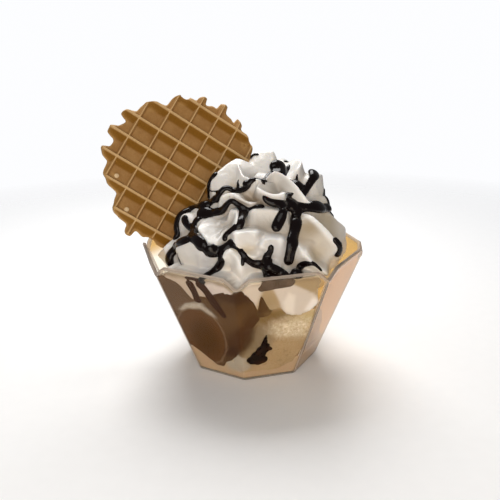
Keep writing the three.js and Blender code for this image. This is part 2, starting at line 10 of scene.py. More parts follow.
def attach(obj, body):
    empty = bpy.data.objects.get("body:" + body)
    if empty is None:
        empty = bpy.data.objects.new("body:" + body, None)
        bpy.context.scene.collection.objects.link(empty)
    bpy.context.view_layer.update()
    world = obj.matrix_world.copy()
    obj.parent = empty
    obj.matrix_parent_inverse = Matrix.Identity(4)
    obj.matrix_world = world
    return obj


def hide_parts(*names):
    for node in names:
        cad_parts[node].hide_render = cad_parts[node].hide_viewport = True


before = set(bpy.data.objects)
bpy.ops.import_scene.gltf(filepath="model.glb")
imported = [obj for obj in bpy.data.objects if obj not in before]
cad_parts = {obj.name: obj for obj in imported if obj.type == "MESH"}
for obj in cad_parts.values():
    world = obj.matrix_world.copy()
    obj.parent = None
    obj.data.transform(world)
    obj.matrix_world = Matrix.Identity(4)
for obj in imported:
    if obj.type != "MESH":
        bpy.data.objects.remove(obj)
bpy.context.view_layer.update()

MM = 0.001
BODY = "root"

# Camera: a pinhole fitted to the cup's corners in the 500 px photograph.
IMAGE_PX = 500
SENSOR_MM = 36
CAMERA = {
    "elevation": 17.56, "distance": 271.61, "focal_px": 592.81, "roll": -0.70, "target": (-0.68, 0, 50.45),
    "nearest": 10,
}

# Soft studio light: places and sizes in metres, power in watts.
LIGHTS = [
    {"name": "top_light", "place": (-0.04, 0.24, 0.42), "size": 0.3, "watts": 2.3,
     "colour": (1, 0.99, 0.98)},
    {"name": "front_light", "place": (-0.1, -0.6, 0.34), "size": 0.5, "watts": 1.6,
     "colour": (1, 0.99, 0.97)},
    {"name": "low_light", "place": (0.04, -0.48, 0.08), "size": 0.3, "watts": 0.75,
     "colour": (1, 0.82, 0.62)},
]
LIGHT_AIM = (0, 0, 0.06)
WORLD_LIGHT = 0.22
WORLD_COLOUR = (0.98, 0.985, 1.0, 1)
FLOOR_RADIUS = 1200
FLOOR_SIDES = 96
FLOOR_FADE = (0.12, 0.5)

# Clear cup: a tapered octagon whose rim dips to a notch at every corner. Its wall swells into a beaded
# lip from the neck up. The rings at the middle inset close its underside and its floor.
CUP = {
    "sides": 8, "turn": -7.3, "foot": 30, "rim": 51.8, "height": 54.2, "notch": 49.8, "notch_half": 5.3,
    "wall": 1.2, "floor": 1.6, "outer_round": 2.4, "inner_round": 1.2, "foot_round": 0.9, "bead": 0.2,
    "neck": 1.6, "neck_length": 1.2, "floor_round": 1.5, "inner_start": 1.6, "middle": 20, "rows": 26,
    "columns": 14, "arc": 5,
}
SLOPE = (CUP["rim"] - CUP["foot"]) / CUP["height"]
HALF_STEP = math.pi / CUP["sides"]

# Millimetres in one degree round the wall, where its apothem is OUTLINE_REACH, and how much more at the rim.
MM_PER_DEGREE = 0.72
OUTLINE_REACH = 40
RIM_STRETCH = 1.18

# Above this height the rows of the wall follow the rim's dips.
SQUEEZE_FROM = 40

# How deep each filling reaches into the wall: the smaller the inset, the further out it shows.
INSET = {"sauce": 0.78, "chocolate": 0.88, "vanilla": 0.94, "cream": 1.0, "pool": 1.06}

# Round waffle with a square grid of ribs on both faces.
WAFER = {
    "radius": 38.0, "squareness": 2.1, "web_in": 3.9, "web": 1.5, "pitch": 10.4, "lines": 3,
    "main": {"low": 3.8, "high": 1.1, "crest": 0.7, "rise": 2.1},
    "cross": {"low": 1.3, "high": 1.1, "crest": 0.4, "rise": 1.3},
    "shift": (0.6, 0.8), "centre": (-30.4, 14.5, 83.1), "turn": 22, "lean": 20.7, "roll": -36.5,
}

# A rib's end that sticks out of the web: half its width, its corners' radius and how softly it joins.
NUB_HALF = 1.9
NUB_CORNER = 1.1
NUB_BLEND = 1.2

# The wafer's grid: its step, the least step, lines over each rib, and how much of its rim is cut off.
WAFER_GRID = {"step": 0.55, "least": 0.17, "over_rib": 21, "past_rib": 0.3, "margin": 0.6, "cut": -0.12}

# Bites out of the wafer's outline, in its own plane: place and radius.
WAFER_NICKS = [(-17.9, 33.4, 2.6), (0.5, -39.2, 5.0)]

# Two pale flakes stuck to the wafer's front, in the wafer's own plane.
WAFER_CHIPS = [(-26.4, -17.4), (-15.4, -28.4)]

# How far the flakes stand out.
CHIP_RISE = 0.9

# Scoops, how rugged they are as height and size of each layer of noise, and the ice cream melted under them.
CHOCOLATE = {"centre": (-13.7, -9, 26), "radii": (24.5, 23.5, 22)}
VANILLA = {"centre": (12.5, -9, 19.5), "radii": (18.5, 24.5, 20.5)}
SCOOP_ROUGHNESS = [(0.9, 9), (0.35, 2.5), (0.15, 1.1)]
SCOOP_MESH = {"rows": 200, "columns": 440}
POOL_LEVEL = 9.5
POOL_COLUMNS = 240

# Whatever reaches further forward than this counts as the front when colours are laid.
FRONT_FROM = -15

# The wet patch where the chocolate touches the wall, and its darker middle.
CONTACT = {"centre": (-21.8, 20.6), "radii": (10.4, 15.4), "tilt": 6}
CONTACT_MIDDLE = {"centre": (-20.2, 20.5), "radii": (7.4, 12.5), "tilt": 6}

# Whipped cream: a mound measured from its own centre, with a groove between two tiers.
CREAM = {
    "centre": (4.3, 0, 50), "columns": 430, "rows": 175, "plug_rows": 38,
    "groove": {"depth": 4, "elevation": 36, "side": -5.5, "front": 6, "width": 9},
    "recess": {"depth": 10, "azimuth": 128, "width": 16, "from": 6, "to": 40},
    "plug": {"reach": 43, "right_reach": 30, "front": 18, "back": 26, "slope": 20, "square": 3.2,
             "gaps": ((66, 34), (128, 24))},
    "blend": 1.4,
}
MOUND_PROFILE = [(0, 38.0), (18, 37.0), (34, 35.6), (52, 35.4), (75, 36.6), (90, 37.6)]
RELIEF = 1.35

# The mound's usual radius, which turns degrees into millimetres.
CREAM_REACH = 40.0

# How strongly the painted shade and painted light of the folds are laid.
TONE_SHARE = 0.85


def fold(rise, left, right, edge, *route, lean=0.0):
    """A crest on the cream: how far it rises, how wide its left and right flanks are seen along its route,
    how hollow they are, and its route of azimuth from the front and elevation, in degrees. Lean is how far
    its lip hangs over to the right."""
    return {"rise": rise, "left": left, "right": right, "edge": edge, "lean": lean, "route": list(route)}


CRESTS = [
    fold(5.5, 11, 9, 0.8, (-60, 48), (-62, 58), (-75, 72), (-133, 79)),
    fold(5.5, 9, 9, 1.1, (-133, 79), (-165, 83), (150, 83), (120, 77)),
    fold(4.8, 5, 6, 1.3, (-112, 80), (-60, 75), (-37, 70), (-22, 64), (-8, 62), (6, 64), (18, 69),
         lean=-1.5),
    fold(5.5, 6, 4, 1.5, (-12, 61), (-6, 55), (0, 52), (7, 50), (14, 49), (22, 50), (30, 54), lean=3.0),
    fold(4.2, 3.4, 2.8, 1.1, (3, 60), (6, 65), (13, 69), (24, 70), (33, 67), (37, 61), (39, 53), (42, 46),
         (50, 41), (61, 38), (74, 33), lean=0.8),
    fold(4.6, 6, 6, 1.7, (56, 65), (74, 66), (100, 67), (125, 70)),
    fold(4.5, 7, 7, 1.2, (64, 55), (86, 53), (100, 48)),
    fold(5.5, 6, 4, 1.5, (-44, 43), (-40, 47), (-35, 49), (-26, 50), (-16, 48), (-9, 47), (4, 49),
         lean=3.0),
    fold(4.0, 7, 6, 1.1, (-92, 28), (-82, 35), (-72, 39), (-60, 44), lean=2.0),
    fold(4.5, 7, 4, 1.2, (-52, 28), (-41, 24), (-35, 20), (-31, 18), (-27, 21), (-25, 27), lean=2.8),
    fold(4.5, 6, 5, 1.3, (-33, 38), (-28, 42), (-24, 44), (-20, 39), (-18, 32), (-21, 28), lean=-1.6),
    fold(5.0, 6, 11, 0.9, (-15, 43), (-9, 43), (4, 43), (17, 41), (28, 40)),
    fold(5.5, 5, 8, 0.9, (-21, 25), (-15, 26), (-9, 27), (1, 27), lean=1.2),
    fold(4.5, 4, 10, 0.9, (-3, 16), (-1, 20), (2, 23), (8, 23), (16, 22)),
    fold(6.5, 4, 13, 1.4, (37, 42), (39, 37), (39, 31), (41, 24), (44, 18), (48, 14), (52, 8), lean=-1.0),
    fold(4.0, 9, 9, 0.9, (62, 38), (76, 29), (84, 20), (88, 8)),
    fold(3.0, 5, 5, 1.3, (25, 20), (29, 20), (37, 16), (43, 11), (55, 3)),
    fold(5.0, 10, 4, 1.3, (20, 20), (22, 15), (25, 12), (28, 8), (35, 2), (41, -4), lean=1.5),
    fold(5.5, 6, 13, 0.7, (-62, 7), (-49, 15), (-41, 17), (-32, 15), (-26, 11)),
    fold(7.5, 9, 10, 0.7, (-70, 11), (-78, 5), (-88, -4)),
    fold(4.5, 6, 8, 1.0, (-25, 8), (-21, 14), (-18, 16), (-14, 14), (-12, 9), (-12, 0)),
    fold(4.0, 5, 4, 1.3, (-22, 23), (-15, 20), (-10, 16), (-5, 14), (0, 13), lean=2.0),
    fold(3.5, 5, 4, 1.2, (0, 10), (4, 9), (11, 5)),
    fold(4.4, 10, 10, 1.0, (-76, 34), (-80, 22), (-84, 8)),
]

# Scooped faces between the folds, and shaded lobes where the depth is 0: where, half sizes across and up in
# millimetres, depth and the painted shade inside.
HOLLOWS = [
    {"at": (-16, 71), "half": (7.5, 4.8), "depth": 2.6, "tone": (0.33, 0.31, 0.29)},
    {"at": (22, 62), "half": (5.0, 4.0), "depth": 2.0, "tone": (0.44, 0.41, 0.37)},
    {"at": (62, 48), "half": (5, 5), "depth": 1.4, "tone": (0.78, 0.76, 0.73)},
    {"at": (-11, 52.5), "half": (7.5, 2.8), "depth": 2.0, "tone": (0.17, 0.095, 0.03)},
    {"at": (-34, 31), "half": (5.5, 6), "depth": 1.6, "tone": (0.55, 0.53, 0.50)},
    {"at": (3, 34), "half": (10, 4), "depth": 1.2, "tone": (0.40, 0.35, 0.29)},
    {"at": (32, 28), "half": (6, 8), "depth": 1.2, "tone": (0.34, 0.235, 0.105)},
    {"at": (68, 29), "half": (9, 10), "depth": 0.8, "tone": (0.52, 0.43, 0.29)},
    {"at": (33, 12), "half": (5, 4), "depth": 0.8, "tone": (0.50, 0.41, 0.28)},
    {"at": (50, 21), "half": (7, 5), "depth": 0.8, "tone": (0.50, 0.42, 0.29)},
    {"at": (-33, 9), "half": (4, 6), "depth": 0.0, "tone": (0.58, 0.58, 0.60)},
    {"at": (8, 15), "half": (6, 6), "depth": 0.0, "tone": (0.56, 0.54, 0.53)},
    {"at": (-12, 19), "half": (4, 1.6), "depth": 0.8, "tone": (0.62, 0.45, 0.22)},
]

# Where the whole mound bulges or shrinks: where, how far round it, and how much, in millimetres.
BULGES = [
    {"at": (-82, 10), "half": (9, 9), "rise": -4.6},
    {"at": (-99, 24), "half": (8, 7), "rise": -2.6},
    {"at": (125, 73), "half": (6, 6), "rise": 2.2},
    {"at": (92, 60), "half": (7, 7), "rise": 3.4},
    {"at": (78, 44), "half": (8, 6), "rise": 1.8},
    {"at": (88, 37), "half": (9, 7), "rise": 2.6},
    {"at": (-115, 62), "half": (9, 9), "rise": -1.5},
    {"at": (84, 20), "half": (11, 8), "rise": -2.8},
    {"at": (97, 2), "half": (8, 6), "rise": 1.8},
]

# The far side carries the same sort of crests, one after another round each tier.
BACK_CRESTS = [
    {"count": 6, "from": 112, "to": 250, "low": 2, "high": 33, "slant": 26, "rise": 5.2, "left": 11,
     "right": 7, "edge": 1.3, "lean": 2},
    {"count": 4, "from": 118, "to": 236, "low": 42, "high": 72, "slant": 38, "rise": 4.8, "left": 10,
     "right": 7, "edge": 1.3, "lean": 2},
]


def poured(first, last, *route):
    """A strand of sauce: its width at the start and at the end, and its route."""
    return {"width": (first, last), "route": list(route)}


# Sauce strands on the cream, with routes as for the crests.
DRIZZLE = [
    poured(2.4, 3.0, (-65, 62), (-64, 57), (-73, 52), (-77, 48)),
    poured(2.6, 3.0, (-55, 48), (-53, 51), (-49, 54), (-45, 58), (-33, 59), (-21, 58), (-13, 59)),
    poured(2.8, 1.8, (-24, 60), (-15, 59), (-4, 62), (6, 60)),
    poured(1.8, 2.4, (50, 80), (30, 79), (3, 66), (6, 61)),
    poured(6.4, 7.0, (100, 81), (80, 78), (58, 75), (50, 71)),
    poured(3.6, 1.2, (70, 74), (90, 72), (106, 71)),
    poured(2.4, 6.4, (41, 63), (48, 61), (56, 60), (64, 61)),
    poured(4.4, 1.6, (92, 57), (75, 56), (60, 54), (46, 49)),
    poured(1.4, 3.2, (89, 46), (80, 41), (84, 33), (83, 26)),
    poured(1.6, 3.2, (37, 53), (31, 55), (28, 50)),
    poured(3.4, 5.6, (3, 54), (9, 51), (20, 49), (31, 47), (38, 45)),
    poured(5.6, 3.0, (33, 47), (45, 43), (58, 40), (80, 34)),
    poured(2.8, 4.2, (28, 53), (23, 48), (15, 38), (11, 33), (9, 29)),
    poured(4.0, 4.6, (36, 47), (35, 43), (28, 34), (19, 21), (15, 8)),
    poured(4.4, 2.4, (-70, 37), (-59, 39), (-45, 44), (-37, 49), (-28, 52), (-19, 50), (-9, 46), (3, 46)),
    poured(3.0, 3.6, (-88, 34), (-80, 40), (-71, 44), (-61, 48), (-52, 51)),
    poured(4.6, 4.2, (-88, 34), (-80, 27), (-80, 19), (-76, 12)),
    poured(3.8, 2.6, (-75, 29), (-67, 25), (-60, 25)),
    poured(3.8, 4.8, (-63, 34), (-60, 26), (-50, 21), (-38, 19), (-32, 16)),
    poured(2.2, 2.8, (-72, 10), (-65, 14), (-49, 20)),
    poured(5.4, 3.2, (-70, -3), (-70, 2), (-69, 8), (-55, 15), (-45, 19)),
    poured(4.6, 2.4, (-19, 49), (-19, 40), (-18, 32), (-21, 29), (-25, 26), (-26, 22)),
    poured(4.6, 3.2, (-33, 18), (-31, 16), (-26, 16), (-21, 19), (-18, 22)),
    poured(3.2, 2.6, (-24, 17), (-23, 12), (-27, 6), (-31, 0)),
    poured(2.8, 4.0, (-22, 20), (-18, 22), (-14, 18), (-9, 13), (-3, 10), (2, 9), (7, 6), (13, 3)),
    poured(2.2, 3.2, (5, 21), (4, 17), (2, 13), (4, 10)),
    poured(4.6, 1.0, (14, 4), (21, 4), (25, 9), (29, 10), (34, 5)),
    poured(2.0, 3.2, (41, 19), (44, 15), (46, 11), (46, 8)),
    poured(2.4, 2.2, (73, 12), (72, 9), (68, 6)),
]

# Thinner sauce, too slight for a solid of its own.
THIN_DRIZZLE = [
    poured(0.9, 0.9, (-67, 52), (-59, 52), (-51, 54)),
    poured(0.6, 2.0, (-35, 64), (-34, 62), (-29, 59)),
    poured(2.4, 0.6, (128, 71), (118, 68), (109, 69)),
    poured(0.6, 2.0, (64, 65), (59, 62)),
    poured(2.2, 1.4, (-11, 14), (-11, 9)),
    poured(2.4, 2.0, (1, 9), (2, 3)),
    poured(0.7, 1.0, (-53, 11), (-55, 6), (-55, 2)),
    poured(2.0, 1.6, (-137, 81), (-150, 84), (-177, 86)),
]

# Drizzle behind: one zigzag poured back and forth, and a wavy line round each tier.
BACK_ZIGZAG = {"from": 92, "to": 262, "strokes": 7, "low": 14, "high": 62, "width": (2.9, 2.9)}
BACK_LINES = [
    {"from": 80, "to": 276, "elevation": 34, "wave": 6, "cycles": 2.5, "width": (2.8, 2.8)},
    {"from": 100, "to": 262, "elevation": 56, "wave": 5, "cycles": 2, "width": (2.5, 2.5)},
]

# Sauce run down inside the wall, with routes of azimuth in degrees and height in millimetres.
WALL_DRIPS = [
    poured(2.8, 4.0, (-34.0, 50.6), (-32.4, 46), (-31.6, 42), (-31.2, 39.6)),
    poured(3.8, 3.0, (-28.6, 51), (-24.4, 47), (-20.8, 41.7), (-17.6, 37.7), (-14.6, 34.6)),
    poured(1.5, 1.5, (-35.5, 51.4), (-30, 51.6), (-26, 51.2)),
]

# Melted chocolate on the inside of the front wall: a strip under the rim with a short run down from it,
# and a cone on the scoop with a hook beside it.
WALL_SMEARS = [
    {"width": (4.6, 3.4), "tone": (0.095, 0.068, 0.052), "route": [(4.0, 51.4), (9.4, 50.8), (16.5, 50.8),
     (21.4, 51.4)]},
    {"width": (3.0, 2.4), "tone": (0.075, 0.05, 0.036), "route": [(4.2, 51), (4.6, 49.6), (4.8, 47.8)]},
    {"width": (0.3, 6.2), "tone": (0.072, 0.037, 0.014), "route": [(4.4, 46), (5.0, 42), (5.6, 38.6),
     (5.6, 35)]},
    {"width": (3.0, 1.0), "tone": (0.098, 0.058, 0.024), "route": [(5.6, 37), (8.6, 36.4), (10.6, 38.6)]},
]

# Dark sauce at the bottom of the front wall, as balls of azimuth, height and radius.
DOLLOP = [
    (-2.2, 12.6, 2.4), (0.6, 12.2, 3.2), (4.0, 11.6, 3.1), (7.0, 11.8, 2.8), (1.4, 15.2, 2.4),
    (5.4, 15.2, 2.8), (4.8, 18.0, 2.2), (8.4, 17.2, 2.3), (11.6, 17.6, 1.6), (13.0, 17.2, 1.2),
    (7.4, 20.2, 2.0), (10.2, 19.6, 1.4), (8.0, 22.0, 1.6), (8.4, 23.6, 1.2), (8.7, 25.0, 0.8),
]

# Joining the shells takes a little off every strand, and this gives it back.
STRAND_SWELL = 1.22

# How shells are joined into one skin: the voxel's size in millimetres and the rounds of softening.
JOIN_DRIZZLE = (0.42, 5)
JOIN_ON_WALL = (0.22, 2)
JOIN_DOLLOP = (0.3, 6)

# Outlines that the scoops press on the wall, as azimuth in degrees and height in millimetres.
CHOCOLATE_OUTLINE = [
    (-49, 50.5), (-42.7, 48.2), (-38.5, 44.5), (-35.1, 40.7), (-31.5, 42), (-28.3, 43.3), (-20.7, 43.9),
    (-17.3, 46.6), (-11, 48), (-4.4, 49.6), (-0.4, 44.8), (2.6, 38.9), (4, 34), (0, 29.5), (-4.5, 25),
    (-6.5, 19), (-12, 14), (-19.2, 10.2), (-26.4, 6.0), (-32.6, 5.8), (-40, 9.7), (-44.3, 11.5),
    (-51, 14.5), (-75, 17), (-105, 14), (-140, 11), (-172, 13), (-182, 24), (-172, 31), (-150, 34),
    (-122, 33), (-98, 38), (-72, 45),
]
VANILLA_OUTLINE = [
    (-3, 37), (10.9, 38), (15.9, 39), (20, 35), (29, 33.5), (36, 35.5), (37.2, 27), (36.5, 17), (33, 8),
    (20, 5), (5, 5), (-8, 5), (-15, 8), (-12, 22), (-8, 30),
]

# Where the cream is pressed flat on the front wall, down to the scoops.
CREAM_OUTLINE = [
    (-56, 60), (-54, 46), (-44, 45), (-35.1, 38.5), (-28, 41), (-18, 42), (-7.3, 44), (2.6, 36.5),
    (10.1, 36.5), (15.9, 38.6), (20, 34.8), (24.4, 33.1), (29, 33.0), (33.6, 34.4), (37.3, 38.5),
    (35.2, 42.5), (34, 46), (35, 60),
]
VANILLA_BACK_OUTLINE = [(128, 11), (126, 24), (146, 33), (170, 32), (186, 26), (180, 12), (156, 8)]


def smoothstep(value, low, high):
    share = np.clip((np.asarray(value, float) - low) / (high - low), 0, 1)
    return share * share * (3 - 2 * share)


def directions(azimuth, elevation):
    """Unit vectors: azimuth is measured from the front, -Y, towards +X."""
    azimuth, elevation = np.radians(azimuth), np.radians(elevation)
    flat = np.cos(elevation)
    return np.stack([np.sin(azimuth) * flat, -np.cos(azimuth) * flat, np.sin(elevation)], -1)


def noise(points, size, seed):
    """Smooth noise from -1 to 1 that changes over about size millimetres. Each use has its own seed."""
    place = np.asarray(points, float) / size + seed * 17.31
    cell = np.floor(place).astype(int)
    part = place - cell
    part = part * part * (3 - 2 * part)
    total = np.zeros(len(place))
    for corner in np.ndindex(2, 2, 2):
        lattice = (cell + corner) @ np.array([127.1, 311.7, 74.7])
        value = np.sin(lattice) * 43758.5453
        weight = np.where(np.array(corner), part, 1 - part).prod(1)
        total += (value - np.floor(value)) * weight
    return 2 * total - 1


# Camera, floor and light

def add_camera():
    pitch, roll = math.radians(CAMERA["elevation"]), math.radians(CAMERA["roll"])
    forward = Vector((0, math.cos(pitch), -math.sin(pitch)))
    right = Vector((1, 0, 0))
    up = right.cross(forward)
    across = right * math.cos(roll) + up * math.sin(roll)
    upright = up * math.cos(roll) - right * math.sin(roll)
    matrix = Matrix((across, upright, -forward)).transposed().to_4x4()
    matrix.translation = (Vector(CAMERA["target"]) - forward * CAMERA["distance"]) * MM
    data = bpy.data.cameras.new("camera")
    data.sensor_width = SENSOR_MM
    data.lens = CAMERA["focal_px"] / IMAGE_PX * SENSOR_MM
    data.clip_start = CAMERA["nearest"] * MM
    camera = bpy.data.objects.new("camera", data)
    camera.matrix_world = matrix
    bpy.context.scene.collection.objects.link(camera)
    bpy.context.scene.camera = camera


def add_light(name, place, size, watts, colour):
    """A square soft light, aimed at the middle of the sundae."""
    data = bpy.data.lights.new(name, "AREA")
    data.shape = "SQUARE"
    data.size = size
    data.energy = watts
    data.color = colour
    light = bpy.data.objects.new(name, data)
    light.location = place
    aim = Vector(LIGHT_AIM) - Vector(place)
    light.rotation_euler = aim.to_track_quat("-Z", "Y").to_euler()
    bpy.context.scene.collection.objects.link(light)


def add_world():
    """White where it is looked at, also through the cup, and dimmer where it lights matt and glossy things."""
    world = bpy.data.worlds.new("world")
    world.use_nodes = True
    tree = world.node_tree
    paths = tree.nodes.new("ShaderNodeLightPath")
    seen = tree.nodes.new("ShaderNodeMath")
    seen.operation = "MAXIMUM"
    strength = tree.nodes.new("ShaderNodeMapRange")
    strength.inputs["To Min"].default_value = WORLD_LIGHT
    strength.inputs["To Max"].default_value = 1.0
    background = tree.nodes["Background"]
    background.inputs["Color"].default_value = WORLD_COLOUR
    tree.links.new(paths.outputs["Is Camera Ray"], seen.inputs[0])
    tree.links.new(paths.outputs["Is Transmission Ray"], seen.inputs[1])
    tree.links.new(seen.outputs[0], strength.inputs["Value"])
    tree.links.new(strength.outputs["Result"], background.inputs["Strength"])
    bpy.context.scene.world = world
    bpy.context.scene.view_settings.view_transform = "Standard"


def add_floor():
    """A pale round floor that fades into the surroundings."""
    turn = np.arange(FLOOR_SIDES) * 2 * math.pi / FLOOR_SIDES
    rim = np.column_stack([np.cos(turn), np.sin(turn), np.zeros(FLOOR_SIDES)]) * FLOOR_RADIUS
    floor = make_mesh("floor", rim, [tuple(range(FLOOR_SIDES))], floor_material(), smooth=False)


def add_surroundings():
    add_world()
    add_floor()
    for light in LIGHTS:
        add_light(**light)


# Meshes

def make_mesh(name, points, faces, material, smooth=True, values=None):
    """An object from points in millimetres, with any per-point values as mesh attributes."""
    mesh = bpy.data.meshes.new(name)
    mesh.from_pydata((np.asarray(points, float) * MM).tolist(), [], [tuple(map(int, face)) for face in faces])
    mesh.update()
    mesh.polygons.foreach_set("use_smooth", [smooth] * len(mesh.polygons))
    add_values(mesh, values or {})
    mesh.materials.append(material)
    thing = bpy.data.objects.new(name, mesh)
    bpy.context.scene.collection.objects.link(thing)
    return thing


def add_values(mesh, values):
    """Stores numbers or colours, one for each point."""
    for key, numbers in values.items():
        numbers = np.asarray(numbers, float)
        if numbers.ndim == 1:
            mesh.attributes.new(key, "FLOAT", "POINT").data.foreach_set("value", numbers)
        else:
            opaque = np.column_stack([numbers, np.ones(len(numbers))])
            mesh.attributes.new(key, "FLOAT_COLOR", "POINT").data.foreach_set("color", opaque.ravel())


def mesh_points(thing):
    numbers = np.empty(len(thing.data.vertices) * 3)
    thing.data.vertices.foreach_get("co", numbers)
    return numbers.reshape(-1, 3) / MM


def set_points(thing, points):
    thing.data.vertices.foreach_set("co", (points * MM).ravel())
    thing.data.update()


def apply_modifiers(thing):
    settled = thing.evaluated_get(bpy.context.evaluated_depsgraph_get())
    mesh = bpy.data.meshes.new_from_object(settled)
    thing.modifiers.clear()
    thing.data = mesh


def melt_together(thing, voxel, rounds):
    """Joins overlapping shells into one skin and softens it."""
    remesh = thing.modifiers.new("join", "REMESH")
    remesh.mode = "VOXEL"
    remesh.voxel_size = voxel * MM
    remesh.use_smooth_shade = True
    soften = thing.modifiers.new("soften", "SMOOTH")
    soften.factor = 0.5
    soften.iterations = rounds
    apply_modifiers(thing)


def ring_faces(rows, columns):
    """Quads between closed rings of points, from each row to the next."""
    row = np.arange(rows - 1)[:, None] * columns
    column = np.arange(columns)[None, :]
    following = (column + 1) % columns
    corners = [row + column, row + columns + column, row + columns + following, row + following]
    return np.stack(corners, -1).reshape(-1, 4)


def capped_rings(rings):
    """Points and faces of stacked rings, closed by a fan to a middle point at both ends."""
    rows, columns = rings.shape[:2]
    points = rings.reshape(-1, 3)
    first, last = rings[0].mean(0), rings[-1].mean(0)
    faces = ring_faces(rows, columns).tolist()
    end = (rows - 1) * columns
    total = len(points)
    faces += [(total, column, (column + 1) % columns) for column in range(columns)]
    faces += [(total + 1, end + (column + 1) % columns, end + column) for column in range(columns)]
    return np.vstack([points, first, last]), faces


def smooth_route(route, step):
    """A centripetal curve through the points of a route, at about the given step."""
    route = np.asarray(route, float)
    ends = np.vstack([2 * route[0] - route[1], route, 2 * route[-1] - route[-2]])
    out = []
    for a, b, c, d in zip(ends, ends[1:], ends[2:], ends[3:]):
        steps = [max(np.linalg.norm(q - p) ** 0.5, 1e-6) for p, q in ((a, b), (b, c), (c, d))]
        times = np.cumsum([0] + steps)
        count = max(2, round(np.linalg.norm(c - b) / step))
        t = np.linspace(times[1], times[2], count, endpoint=False)[:, None]
        ab = ((times[1] - t) * a + (t - times[0]) * b) / (times[1] - times[0])
        bc = ((times[2] - t) * b + (t - times[1]) * c) / (times[2] - times[1])
        cd = ((times[3] - t) * c + (t - times[2]) * d) / (times[3] - times[2])
        early = ((times[2] - t) * ab + (t - times[0]) * bc) / (times[2] - times[0])
        late = ((times[3] - t) * bc + (t - times[1]) * cd) / (times[3] - times[1])
        out.append(((times[2] - t) * early + (t - times[1]) * late) / (times[2] - times[1]))
    return np.vstack(out + [route[-1:]])


# The cup's walls as a limit for what fills it

def apothem(height, inset=0.0):
    """From the axis to the middle of a wall, less the inset."""
    return (CUP["foot"] + SLOPE * height) * math.cos(HALF_STEP) - inset


FACET_AZIMUTHS = np.radians(CUP["turn"]) + HALF_STEP * (2 * np.arange(CUP["sides"]) + 1)
FACET_NORMALS = np.stack([np.sin(FACET_AZIMUTHS), -np.cos(FACET_AZIMUTHS)], -1)


def press_on_wall(points, inset):
    """Moves what lies beyond the wall straight in towards the axis, until it is inset from the outside."""
    points = np.array(points, float)
    reach = (points[:, :2] @ FACET_NORMALS.T).max(1)
    share = np.minimum(1, apothem(points[:, 2], inset) / np.maximum(reach, 1e-6))
    points[:, :2] *= share[:, None]
    return points


def wall_point(azimuth, height, inset):
    """The point of the wall at an azimuth and a height."""
    azimuth = np.radians(np.asarray(azimuth, float))
    out = np.stack([np.sin(azimuth), -np.cos(azimuth)], -1)
    reach = apothem(np.asarray(height, float), inset) / (out @ FACET_NORMALS.T).max(-1)
    return np.stack([out[..., 0] * reach, out[..., 1] * reach, np.broadcast_to(height, reach.shape)], -1)


def distance_to_wall(centre, outward, inset, floor):
    """How far each ray from centre runs before it meets a wall or the floor."""
    centre = np.asarray(centre, float)
    lean = SLOPE * math.cos(HALF_STEP)
    room = apothem(centre[2], inset) - FACET_NORMALS @ centre[:2]
    speed = outward[:, :2] @ FACET_NORMALS.T - lean * outward[:, 2:]
    walls = np.where(speed > 1e-6, room / np.maximum(speed, 1e-6), 1e6).min(1)
    down = np.where(outward[:, 2] < -1e-6, (floor - centre[2]) / np.minimum(outward[:, 2], -1e-6), 1e6)
    return np.minimum(walls, down)


def unrolled(points):
    """Azimuth in degrees and height, as for the outlines on the wall."""
    return np.degrees(np.arctan2(points[:, 0], -points[:, 1])), points[:, 2]


def depth_inside(azimuth, height, outline):
    """Signed distance in millimetres from an outline on the wall, positive inside it."""
    corners = np.array(outline, float) * (MM_PER_DEGREE, 1)
    best = np.full(len(azimuth), 1e9)
    sign = -np.ones(len(azimuth))
    for turn in (0, -360, 360):
        place = np.stack([(azimuth + turn) * MM_PER_DEGREE, height], -1)
        crossings = np.zeros(len(place), int)
        for a, b in zip(corners, np.roll(corners, -1, 0)):
            side = b - a
            along = np.clip(((place - a) @ side) / (side @ side), 0, 1)
            best = np.minimum(best, np.linalg.norm(place - a - along[:, None] * side, axis=1))
            spans = (a[1] > place[:, 1]) != (b[1] > place[:, 1])
            meets = a[0] + (place[:, 1] - a[1]) / (side[1] if side[1] else 1e-9) * side[0]
            crossings += spans & (place[:, 0] < meets)
        sign[crossings % 2 == 1] = 1
    return best * sign


# Materials

